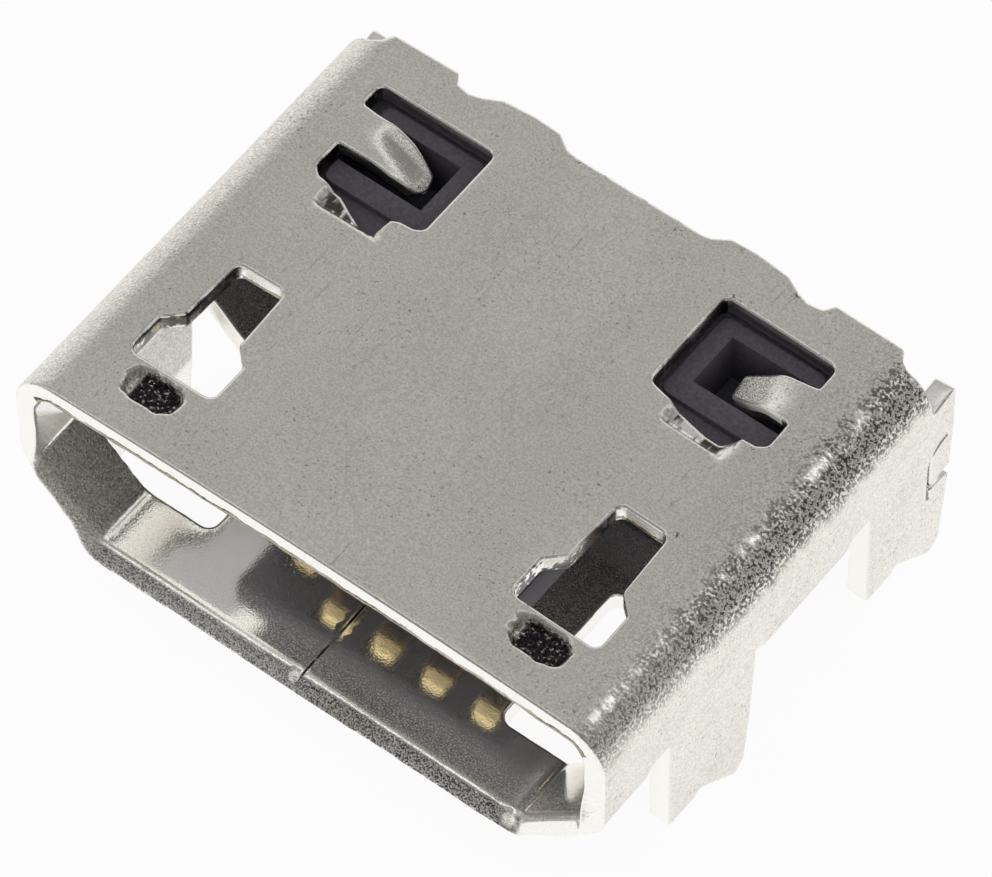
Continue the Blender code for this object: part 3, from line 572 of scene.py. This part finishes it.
def sectionRuns(c):
    # the half section from the middle of the roof to the seam, as runs of (length, start heading, end heading);
    # the last one goes on past the middle, because the seam is off centre
    chamfer = math.hypot(c["halfMouth"] - c["halfFloor"], c["foldZ"] - c["floorTop"])
    slope = math.atan2(c["foldZ"] - c["floorTop"], c["halfMouth"] - c["halfFloor"])
    foldTurn, floorTurn = math.pi / 2 - slope, slope
    foldReach = c["floorBend"] * math.tan(foldTurn / 2)
    floorReach = c["floorBend"] * math.tan(floorTurn / 2)
    down, out = -math.pi / 2, -math.pi
    runs = [
        (c["halfMouth"] - c["roofBend"], 0.0, 0.0),
        (c["roofBend"] * math.pi / 2, 0.0, down),
        (c["roofUnder"] - c["roofBend"] - c["foldZ"] - foldReach, down, down),
        (c["floorBend"] * foldTurn, down, down - foldTurn),
        (chamfer - foldReach - floorReach, down - foldTurn, down - foldTurn),
        (c["floorBend"] * floorTurn, down - foldTurn, out),
        (c["halfFloor"] - floorReach + c["spare"], out, out),
    ]
    return np.array(runs)


runs = sectionRuns(sheet)
runStart = np.concatenate(([0.0], np.cumsum(runs[:, 0])))
roofFlat, wallStart, wallEnd = runStart[1], runStart[2], runStart[3]
floorStart = runStart[6]
floorStartX = runs[6, 0] - sheet["spare"]


def alongSection(s):
    # place (x, z) on the inner face and the heading there, for distances from the middle of the roof
    heading = np.zeros_like(s)
    x, z = np.zeros_like(s), np.zeros_like(s)
    atX, atZ = 0.0, sheet["roofUnder"]
    for (length, first, last), start in zip(runs, runStart):
        here = (s >= start) if start == 0 else (s > start)
        local = np.clip(s - start, 0, length)
        if first == last:
            px, pz = atX + local * math.cos(first), atZ + local * math.sin(first)
            turned = np.full_like(s, first)
            endX, endZ = atX + length * math.cos(first), atZ + length * math.sin(first)
        else:
            radius = length / abs(last - first)
            turned = first + (last - first) * local / length
            cx, cz = atX + radius * math.sin(first), atZ - radius * math.cos(first)
            px, pz = cx - radius * np.sin(turned), cz + radius * np.cos(turned)
            endX, endZ = cx - radius * math.sin(last), cz + radius * math.cos(last)
        x, z, heading = np.where(here, px, x), np.where(here, pz, z), np.where(here, turned, heading)
        atX, atZ = endX, endZ
    return x, z, heading


def lipShare(s):
    # how much of the lip there is: none on the roof, a slight flare down the side wall, and from the fold on
    # all of it on the right, but half of it on the left and the rest from the floor on
    c, a = sheet, np.abs(s)
    flare = c["flarePart"] * smoothStep(roofFlat + 0.05, wallStart + 0.05, a)
    right = c["rightPart"] * smoothStep(wallEnd - 0.42, wallEnd + 0.16, a)
    left = c["leftPart"] * smoothStep(wallEnd - 0.20, wallEnd + 0.25, a)
    left = left + c["leftFloorPart"] * smoothStep(floorStart - 0.45, floorStart + 0.05, a)
    return flare + np.where(s > 0, right, left)


def foldSheet(s, y, h):
    # carries a point of the flat sheet, at height h above its inner face, to its place on the folded shell
    side, a = np.where(s < 0, -1.0, 1.0), np.abs(s)
    x, z, heading = alongSection(a)
    # the lip rolls outwards about a line in front of the mouth
    radius = sheet["lipRadius"]
    angle = np.maximum(0, -y) / radius
    out = radius - (radius - h) * np.cos(angle)
    depth = np.where(y < 0, -(radius - h) * np.sin(angle), y)
    # the roof arches a little
    half = sheet["halfMouth"] - sheet["roofBend"]
    crown = sheet["crown"] * np.maximum(0, 1 - (a / half) ** 2)
    px = x - np.sin(heading) * out
    pz = z + np.cos(heading) * out + crown
    # legs leave the wall straight down
    (front, rear), (frontBehind, rearBehind) = sheet["legRows"]
    standing = ((y > front) & (y < rear)) | ((y > frontBehind) & (y < rearBehind))
    leg = standing & (a > wallEnd) & (a < wallEnd + sheet["reliefZ"] - 0.0065)
    px = np.where(leg, sheet["halfMouth"] + h, px)
    pz = np.where(leg, sheet["reliefZ"] - sheet["reliefPlay"] - (a - wallEnd), pz)
    # tabs bend down into the windows about a line at their roots
    root = sheet["tabRoot"]
    bend, turn = (np.where(s > 0, *sheet[key]) for key in ("tabBend", "tabAngle"))
    front, rear = sheet["tabRows"]
    tab = (a < root) & (a > root - sheet["tabLength"] - 0.05) & (y > front) & (y < rear)
    reach = np.maximum(0, root - a)
    bent = np.minimum(reach / bend, turn)
    beyond = np.maximum(0, reach - bend * turn)
    layer = bend - (sheet["thickness"] - h)
    top = sheet["roofUnder"] + sheet["thickness"] + sheet["crown"] * max(0, 1 - (root / half) ** 2)
    # and are dished across, so that their long edges stand higher than the middle
    layer = layer + sheet["tabDish"] * (y - sheet["tabMiddle"]) ** 2 * smoothStep(0.05, 0.40, reach)
    px = np.where(tab, root - layer * np.sin(bent) - beyond * np.cos(bent), px)
    pz = np.where(tab, top - bend + layer * np.cos(bent) - beyond * np.sin(bent), pz)
    return np.stack([px * side, depth, pz], 1)


def atHeights(corners):
    # corners (z, y, radius) on a wall or a leg, with the height turned into the place along the flat section
    return [(wallEnd + sheet["reliefZ"] - sheet["reliefPlay"] - z, y, radius) for z, y, radius in corners]


reliefPlace = atHeights([(sheet["reliefZ"], 0, 0)])[0][0]


def legEdge(front):
    # a leg's outline below the relief, in (s, y, radius), from its front root to its tip and back up, and its rear
    rear = front + sheet["legWidth"]
    return atHeights([
        (sheet["reliefZ"], front, 0.03), (0.44, front, 0.07), (0.44, front + 0.44, 0.05), (0.51, front + 0.51, 0.05),
        (0.0, front + 1.12, 0.07), (0.14, rear - 0.16, 0.08), (0.87, rear - 0.08, 0.1),
    ]), rear


def outerOutline():
    # the sheet's outer edge, in (s, y, radius): along the lip, up the right edge of the seam with its dovetail,
    # round the right side to the middle of the roof's rear edge, and back the same way on the left
    endRight = floorStart + floorStartX - (sheet["seam"] + sheet["seamGap"] / 2)
    endLeft = floorStart + floorStartX + (sheet["seam"] - sheet["seamGap"] / 2)
    lipLength = sheet["lipRadius"] * sheet["lipAngle"]
    s = np.arange(-endLeft + 0.05, endRight - 0.04, 0.05)
    front = [(a, -lipLength * float(lipShare(np.array(a)))) for a in s]
    onFloor = lambda x: floorStart + floorStartX - x
    inner = onFloor(sheet["openingInner"])
    floorRear = sheet["floorRear"]
    legPath, rear = legEdge(sheet["legFronts"][1])

    def sideUp():
        # from the floor's rear edge round the rear leg, the wedge and the curved slit, up to the roof's middle
        arc = lambda radius, first, last, steps: [
            (1.67 + radius * math.sin(t), 5.68 + radius * math.cos(t), 0.0)
            for t in np.linspace(math.radians(first), math.radians(last), steps)]
        path = [(inner, floorRear, 0.05), (inner, 4.03, 0.12), (reliefPlace, 4.03, 0.08)] + legPath
        wall = [(1.19, 5.745, 0.02), (1.235, 5.425, 0.0), (1.09, 5.425, 0.02), (1.09, 5.375, 0.02)]
        wall += arc(0.305, 180, 92, 8) + [(1.67 + 0.305, 5.70, 0.012), (1.67 + 0.255, 5.70, 0.012)]
        wall += arc(0.255, 92, 180, 8) + [(1.30, 5.425, 0.0), (1.36, 5.76, 0.02), (1.97, rear, 0.1)]
        path += atHeights(wall + [(2.68, rear, 0.05), (2.60, 5.41, 0.04)])
        path += [(3.42, 5.38, 0.05), (3.36, 5.38, 0.03), (3.30, 5.37, 0.03), (3.25, 5.42, 0.03), (3.21, 5.545, 0.04)]
        path += [(2.38, 5.54, 0.05), (2.30, 5.42, 0.05), (2.14, 5.39, 0.08), (2.0, 5.43, 0.1), (1.80, 5.53, 0.12)]
        path += [(1.40, 5.56, 0.2), (1.08, 5.54, 0.07), (0.90, 5.42, 0.08), (0.78, 5.40, 0.1)]
        return path

    up = sideUp()
    right = [(endRight, -lipLength, 0.0), (endRight, 2.27, 0.03), (onFloor(0.565), 2.10, 0.06),
             (onFloor(0.565), 3.00, 0.06), (endRight, 2.83, 0.03), (endRight, floorRear, 0.04)]
    mirrorX = lambda path: [(-p[0], *p[1:]) for p in path[::-1]]
    onLeft = lambda x: -(floorStart + floorStartX + x)
    left = [(-endLeft, floorRear, 0.04), (-endLeft, 2.80, 0.03), (onLeft(0.535), 2.965, 0.06),
            (onLeft(0.535), 2.135, 0.06), (-endLeft, 2.30, 0.03), (-endLeft, -lipLength, 0.0)]
    corners = [(a, b, 0.0) for a, b in front] + right + up + mirrorX(up) + left
    return rounded(corners, steps=4, spacing=0.06)


def windowOutline(sign):
    # a window's edge: the dipped front with room for the ledge, the tab's free edges, and the rear
    left = sign * sheet["windowPlace"] - sheet["windowHalf"]
    tab = [(2.83, 4.115, 0.03), (2.60, 4.13, 0.0), (2.20, 4.18, 0.2), (1.85, 4.28, 0.12), (1.78, 4.41, 0.12)]
    if sign > 0:
        dips = [(left, 3.69, 0.09), (left + 0.30, 3.63, 0.1), (left + 0.62, 3.57, 0.1), (left + 0.80, 3.54, 0.05),
                (left + 0.97, 3.54, 0.05), (left + 1.05, 3.66, 0.05), (left + 1.14, 3.70, 0.08),
                (left + 1.28, 3.71, 0.08)]
        tab += [(1.85, 4.57, 0.10), (2.24, 4.58, 0.2), (2.60, 4.60, 0.0), (2.83, 4.64, 0.03)]
        return dips + [(2.83, 3.78, 0.09)] + tab + [(2.83, 4.94, 0.08), (1.45, 4.94, 0.09)]
    dips = [(left, 3.76, 0.09), (left + 0.10, 3.68, 0.06), (left + 0.40, 3.64, 0.08), (left + 0.62, 3.53, 0.08),
            (left + 0.83, 3.43, 0.05), (left + 0.97, 3.43, 0.05), (left + 1.03, 3.66, 0.05),
            (left + 1.12, 3.70, 0.08), (left + 1.28, 3.71, 0.08)]
    tab += [(1.85, 4.56, 0.10), (2.24, 4.62, 0.2), (2.60, 4.63, 0.0), (2.93, 4.66, 0.05)]
    tab = [(-a, b, r) for a, b, r in tab[::-1]]
    return dips + [(-1.45, 3.76, 0.09), (-1.45, 4.93, 0.08), (-2.93, 4.95, 0.08)] + tab


def slotOutline(sign):
    # a latch slot: wide in front, narrow behind, with an eased step between
    right = [(0.53, 0.87, 0.10), (0.53, 1.36, 0.07), (0.33, 1.55, 0.08), (0.30, 2.34, 0.09)]
    shift = sheet["slotShift"]
    half = [(a + shift, b, r) for a, b, r in right] + [(-a + shift, b, r) for a, b, r in right[::-1]]
    return [(sign * (sheet["slotPlace"] + a), b, r) for a, b, r in half]


def legOpening(sign):
    # the hole that a front leg leaves: from the relief round the leg, and in over the chamfer to the floor
    legPath, rear = legEdge(sheet["legFronts"][0])
    inner = floorStart + floorStartX - sheet["openingInner"]
    front, behind = sheet["openingFront"], sheet["openingRear"]
    path = [(reliefPlace, front, 0.08)] + legPath + [(reliefPlace, rear, 0.03), (reliefPlace, behind, 0.06)]
    path += [(inner, behind, 0.12), (inner, front, 0.12)]
    return [(sign * a, b, r) for a, b, r in path]


def orient(loop, anticlockwise):
    # turns a loop round where the sign of its area asks for it
    a, b = loop[:, 0], loop[:, 1]
    area = np.sum(a * np.roll(b, -1) - np.roll(a, -1) * b)
    return loop if (area > 0) == anticlockwise else loop[::-1]


def inParts(points, test):
    # a test on many points, a thousand at a time to spare memory
    parts = [test(points[start:start + 1000]) for start in range(0, len(points), 1000)]
    return np.concatenate(parts) if parts else np.zeros(0, bool)


def insideLoops(points, loops):
    # even-odd rule over every edge of every loop
    edges = np.concatenate([np.stack([l, np.roll(l, -1, 0)], 1) for l in loops])
    (ax, ay), (bx, by) = edges[:, 0].T, edges[:, 1].T

    def test(some):
        px, py = some[:, 0:1], some[:, 1:2]
        at = ax + (py - ay) / np.where(by == ay, 1, by - ay) * (bx - ax)
        return np.sum(((ay > py) != (by > py)) & (px < at), 1) % 2 == 1

    return inParts(points, test)


def nearestLoop(points, loops):
    # distance of each point from the nearest corner of any loop
    spots = np.concatenate(loops)
    return inParts(points, lambda some: np.sqrt(((some[:, None, :] - spots[None]) ** 2).sum(2).min(1)))


def fillPoints(loops):
    # staggered grids, fine where the sheet is bent, rolled or struck, coarse where it is flat;
    # a zone is (first s, last s, first y, last y, gap), and a later one leaves out what the earlier ones cover
    end = floorStart + floorStartX + 0.1
    zones = []
    for sign in (1, -1):
        zones += [
            (sign * 2.0, sign * 2.85, 0.36, 0.83, 0.024), (sign * 2.14 - 0.62, sign * 2.14 + 0.3, 3.30, 3.72, 0.03),
            (sign * 3.12, sign * 3.80, -0.1, 5.6, 0.030), (sign * 3.80, sign * end, -0.35, 0.02, 0.026),
            (sign * 1.6, sign * 2.83, 4.0, 4.75, 0.05),
            (sign * 4.30, sign * 4.52, 0.1, 6.0, 0.05), (sign * 5.40, sign * 5.62, 0.1, 5.3, 0.05),
        ]
    zones += [(-end, end, -0.35, 6.0, 0.09)]
    points = np.zeros((0, 2))
    done = []
    for a0, a1, b0, b1, gap in zones:
        a0, a1 = min(a0, a1), max(a0, a1)
        columns, rows = np.arange(a0, a1, gap), np.arange(b0, b1, gap * 0.87)
        grid = np.stack(np.meshgrid(columns, rows), 2)
        grid[1::2, :, 0] += gap / 2
        grid = grid.reshape(-1, 2)
        for c0, c1, d0, d1, fine in done:
            covered = (grid[:, 0] > c0 - fine) & (grid[:, 0] < c1 + fine)
            covered &= (grid[:, 1] > d0 - fine) & (grid[:, 1] < d1 + fine)
            grid = grid[~covered]
        grid = grid[insideLoops(grid, loops)]
        grid = grid[nearestLoop(grid, loops) > 0.5 * gap]
        points = np.concatenate([points, grid])
        done.append((a0, a1, b0, b1, gap))
    return points


def pitReach(s, y, sign):
    # distance from the middle of a pit, 1 at its ragged rim: a squarish round form
    halfWidth, halfLength = sheet["pitHalf"]
    u, v, power = (s - sign * sheet["pitPlace"]) / halfWidth, (y - sheet["pitRow"]) / halfLength, sheet["pitPower"]
    return (np.abs(u) ** power + np.abs(v) ** power) ** (1 / power) + 0.07 * latticeNoise(s, y, 0.09, 12)


def struckDepth(s, y):
    # how far the outer face is pushed in: the pits before the slots and the ledges before the windows
    depth = np.zeros_like(s)
    for sign, shift in zip((1, -1), sheet["ledgeShift"]):
        depth += sheet["pitDepth"] * smoothStep(1.06, 0.74, pitReach(s, y, sign))
        left = sign * sheet["windowPlace"] - sheet["windowHalf"] + shift
        ledge = smoothStep(left + 0.16, left + 0.26, s) * smoothStep(left + 0.97, left + 0.90, s)
        ledge *= smoothStep(3.36, 3.44, y) * smoothStep(3.80, 3.74, y)
        depth += sheet["ledgeDepth"] * ledge
    return depth


# small burrs left by the punch, as (s, y, radius); each is drawn as a dark spot with the pits' painted shade
burrs = ((1.86, 1.80, 0.035), (1.96, 1.97, 0.03), (2.74, 2.40, 0.035), (1.38, 3.98, 0.03), (1.50, 4.99, 0.05),
         (2.10, 0.86, 0.03), (1.99, 5.37, 0.04), (3.27, 5.40, 0.04), (-2.02, 5.36, 0.03), (-0.70, 5.36, 0.02),
         (-0.42, 5.39, 0.04), (0.10, 5.40, 0.03), (0.52, 5.41, 0.05), (0.70, 5.43, 0.03), (1.22, 5.50, 0.04))


def grainAndShadeMarks(s, y):
    # the drawn metal turns pebbly where it is bent hard, over the top bends and along the lip, and where it is
    # struck;
    # the same marks set where the plating paints dark reflection into the crystals' valleys, strongly on the right
    # bend and weakly on the left, and painted shade into the struck hollows and the burr spots
    a = np.abs(s)
    wander = 0.018 * latticeNoise(s, y, 0.16, 13) + 0.016 * latticeNoise(s, y, 0.06, 14)
    inward = a + wander + 0.03 * smoothStep(2.0, 5.0, y)
    bend = smoothStep(3.20, 3.30, inward) * smoothStep(3.57, 3.46, a + wander)
    bend += 0.26 * smoothStep(2.60, 3.25, inward) * smoothStep(3.30, 3.22, inward)
    bend = np.clip(bend, 0, 1) * np.where(s > 0, 0.50 + 0.45 * smoothStep(0.0, 2.6, y), 0.22)
    lip = smoothStep(-0.078, -0.105, y + 0.3 * wander) * smoothStep(wallEnd + 0.05, wallEnd + 0.2, a)
    leftLip = 0.92 - 0.3 * smoothStep(floorStart, floorStart - 0.1, a)
    lip *= np.where(s > 0, smoothStep(floorStart - 0.16, floorStart - 0.06, a), leftLip)
    struck = np.clip(struckDepth(s, y) / sheet["ledgeDepth"], 0, 1)
    # the pits' painted shade is left lighter at their left ends as painted glints, and the ledges are smeared by the
    # shear
    glintEnds = smoothStep(-2.60, -2.66, s) + smoothStep(2.22, 2.14, s) * (s > 0)
    pit = struck * np.where(y > 3, 0.10, 1 - 0.5 * glintEnds)
    for ba, bb, radius in burrs:
        pit = np.maximum(pit, 0.9 * smoothStep(1.2, 0.5, np.hypot(s - ba, y - bb) / radius))
    return bend, lip, pit


def polishedSpots(s, y):
    # facets at the top of the right bend that catch the strip light, and the tabs, rubbed by the punch
    clusters = latticeNoise(s, y, 0.045, 21) + 0.8 * latticeNoise(s, y, 0.34, 22)
    glint = smoothStep(0.045, 0.015, np.abs(s - sheet["glintPlace"] - 0.012 * latticeNoise(s, y, 0.11, 23)))
    glint = glint * smoothStep(0.10, 0.45, clusters)
    tab = smoothStep(2.75, 2.40, np.abs(s)) * ((y > 4.05) & (y < 4.72) & (np.abs(s) > 1.7))
    return np.clip(glint * (y > 0.15), 0, 1), tab


def tearLevel(s, y, inward, height, hole, rough):
    # the height read by the ragged line: true along the roof's front edge and round the holes in the roof, squeezed
    # into the dark line on the holes' left faces and along the seam, as painted shade, and out of its reach on the
    # walls, the legs and the lip; frostMark stands for frosted spots: the upper part of the right tab's front side,
    # and beads along the holes' left edges
    a = np.abs(s)
    roof = a < wallStart - 0.15
    # faces painted dark as shade: the holes' left faces and the seam's edges
    shadedFaces = (hole & (inward[:, 0] < -0.4)) | (a > floorStart + 1.9) & (y < 5.1) & (np.abs(inward[:, 0]) > 0.2)
    rear = hole & (y > 4.5) & (inward[:, 1] > 0.4)
    level = np.where(roof & ((y < 0.05) | hole) & ~rear, height + sheet["lineShift"], 1.0)
    torn = np.where(roof, sheet["shadedRoofLevel"], sheet["shadedFloorLevel"])
    level = np.where(shadedFaces & (roof | (a > floorStart)), torn, level)
    frosted = hole & (y > 4.0) & (y < 4.40) & (s > 1.70) & (s < 2.80) & (height > 0.12)
    beaded = hole & (inward[:, 0] < -0.4) & (height > 0.22) & (height < 0.248) & (rough > 0.15)
    return np.where(frosted | beaded, sheet["frostMark"], level)


def cutOut(rimLoops):
    # triangulates the flat sheet inside its rims: its points, its triangles, and where each rim point is among them
    ringPoints = np.concatenate(rimLoops)
    edges, start = [], 0
    for loop in rimLoops:
        index = np.arange(len(loop)) + start
        edges += list(zip(index.tolist(), np.roll(index, -1).tolist()))
        start += len(loop)
    everything = np.concatenate([ringPoints, fillPoints(rimLoops)])
    result = delaunay_2d_cdt([Vector(p) for p in everything], edges, [], 0, 1e-6)
    verts, faces, origin = result[0], result[2], result[3]
    flat = np.array([tuple(v) for v in verts])
    index = {old: new for new, olds in enumerate(origin) for old in olds}
    triangles = np.array(faces)
    triangles = triangles[insideLoops(flat[triangles].mean(1), rimLoops)]
    print("sheet cut out:", len(flat), "points,", len(triangles), "triangles")
    return flat, triangles, np.array([index[i] for i in range(len(ringPoints))])


def dressFaces(s, y):
    # heights of the outer and the inner face with their pebbles, hollows and beads, and what the plating reads there
    c = sheet
    bend, lip, pit = grainAndShadeMarks(s, y)
    pebble = latticeNoise(s, y, 0.05, 3) + 0.6 * latticeNoise(s, y, 0.028, 4)
    wave = latticeNoise(s, y, 0.9, 5)
    outer = c["thickness"] - struckDepth(s, y) + 0.0032 * pebble * bend + 0.0015 * wave
    outer += 0.012 * pebble * pit
    inner = 0.0022 * pebble * lip + 0.0010 * wave
    # burrs stand on the lip, beside the seam and at the right end of the floor
    place, row, radius = c["seamBead"]
    bead = np.exp(-((s + floorStart + floorStartX - place) ** 2 + (y - row) ** 2) / radius ** 2)
    place, row, radius = c["cornerBead"]
    bead += 0.6 * np.exp(-((s - floorStart - place) ** 2 + (y - row) ** 2) / radius ** 2)
    inner += c["beadHeight"] * bead * (1 + 0.8 * pebble)
    lip = lip * (1 - smoothStep(0.10, 0.40, bead))
    # the left chamfer is dulled by the plug, and its crystals take the lip's painted dark reflection
    worn = smoothStep(wallEnd + 0.02, wallEnd + 0.15, -s) * smoothStep(floorStart - 0.02, floorStart - 0.15, -s)
    none, full = s * 0, s * 0 + 1
    # the tabs are rubbed, the right one pebbled at its tip, and both are dull where they were torn free; the bend
    # mark on them also gives them the crystals' painted dark reflection
    glint, tab = polishedSpots(s, y)
    # the painted dark reflection is left off the glint facets
    bend = bend * (1 - glint)
    bend = np.maximum(bend, tab * np.where(s > 0, 0.12 + 0.75 * smoothStep(1.90, 1.80, s), 0.12))
    rearEdge = tab * (s < 0) * np.maximum(smoothStep(4.48, 4.54, y), smoothStep(-1.98, -1.92, s))
    matt = 2.6 * rearEdge + 3.4 * tab * (s > 0) * smoothStep(1.82, 1.92, s)
    polish = np.maximum(glint, tab * np.where(s > 0, 0.25, 0.5))
    ledge = np.clip(struckDepth(s, y) / c["ledgeDepth"], 0, 1) * (y > 3)
    # a film lies on the floor near the mouth and far back, and on the flanks of the beads
    haze = 0.42 + 0.58 * smoothStep(0.52, 0.10, y) + 0.40 * smoothStep(0.9, 1.3, y)
    haze = np.maximum(haze * (bead < 0.15), 4.0 * smoothStep(0.15, 0.40, bead) * smoothStep(0.97, 0.85, bead))
    marks = {
        "bend": [bend, bend * 0.2], "lip": [lip * 0.4, np.maximum(lip, 0.45 * worn)], "pit": [pit, none],
        "cut": [none, none], "level": [none, none], "haze": [matt, haze],
        "inner": [polish, full - 0.85 * worn], "ledge": [ledge, none],
    }
    return outer, inner, marks


def buildShell(c):
    # both faces and the rim's rings between them are laid out flat, and every point is then folded to its place
    loops = [orient(outerOutline(), True)]
    for outline in (slotOutline, windowOutline, legOpening):
        for sign in (1, -1):
            loops.append(orient(rounded(outline(sign), steps=5, spacing=0.06), False))
    inward = []
    for loop in loops:
        along = np.roll(loop, -1, 0) - np.roll(loop, 1, 0)
        along /= np.linalg.norm(along, axis=1)[:, None]
        # the seam's two edges meet, so they are hardly rounded
        fine = np.where((np.abs(loop[:, 0]) > floorStart + 1.9) & (loop[:, 1] < 5.1), 0.3, 1.0)
        inward.append(np.stack([-along[:, 1], along[:, 0]], 1) * fine[:, None])
    rimLoops = [loop + n * c["rim"][0][0] for loop, n in zip(loops, inward)]
    flat, triangles, atRing = cutOut(rimLoops)
    count, ringCount = len(flat), len(atRing)
    s, y = flat[:, 0], flat[:, 1]
    outer, inner, marks = dressFaces(s, y)
    points = [foldSheet(s, y, outer), foldSheet(s, y, inner)]
    # the rim: burnished and smooth above, torn and uneven below, and dipped where the sheet is struck
    ringPoints = np.concatenate(rimLoops)
    rough = latticeNoise(ringPoints[:, 0], ringPoints[:, 1], 0.06, 9)
    ripple = latticeNoise(ringPoints[:, 0], ringPoints[:, 1], 0.22, 10)
    loopAll, inwardAll = np.concatenate(loops), np.concatenate(inward)
    hole = np.concatenate([np.full(len(loop), 1 <= k <= 4) for k, loop in enumerate(loops)])
    levels, base = [atRing], 2 * count
    for inset, height in c["rim"][1:-1]:
        torn = (0.004 * rough + 0.007 * ripple * (loopAll[:, 1] < 0.05)) * smoothStep(0.14, 0.05, height)
        spot = loopAll + inwardAll * (inset + torn)[:, None]
        a, b = spot[:, 0], spot[:, 1]
        dip = struckDepth(a, b)
        lift = np.where(height > 0.2, height - dip, height * (1 - dip / c["thickness"]))
        points.append(foldSheet(a, b, lift))
        levels.append(base + np.arange(ringCount))
        base += ringCount
        bend, lip, pit = grainAndShadeMarks(a, b)
        upper = 1.0 if height > 0.2 else 0.0
        ring = {
            "bend": bend * upper, "lip": lip, "pit": pit * upper, "cut": (1 - lip) * (0.4 if height > 0.24 else 1.0),
            "inner": 0.0, "ledge": 0.0, "haze": 0.0, "level": tearLevel(a, b, inwardAll, height, hole, rough),
        }
        for key, value in ring.items():
            marks[key].append(np.zeros(ringCount) + value)
    levels.append(atRing + count)
    quads = []
    for top, low in zip(levels, levels[1:]):
        first = 0
        for loop in loops:
            i = np.arange(first, first + len(loop))
            j = np.roll(i, -1)
            quads += np.stack([top[i], low[i], low[j], top[j]], 1).tolist()
            first += len(loop)
    points = np.concatenate(points)
    faces = triangles.tolist() + (triangles[:, ::-1] + count).tolist() + quads
    marks = {key: np.concatenate(values) for key, values in marks.items()}
    shell = makePiece("pressedShell", points, faces, plating, marks)
    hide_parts("shell")
    print("shell folded:", len(points), "points,", len(faces), "faces")
    return shell


shellPiece = buildShell(sheet)
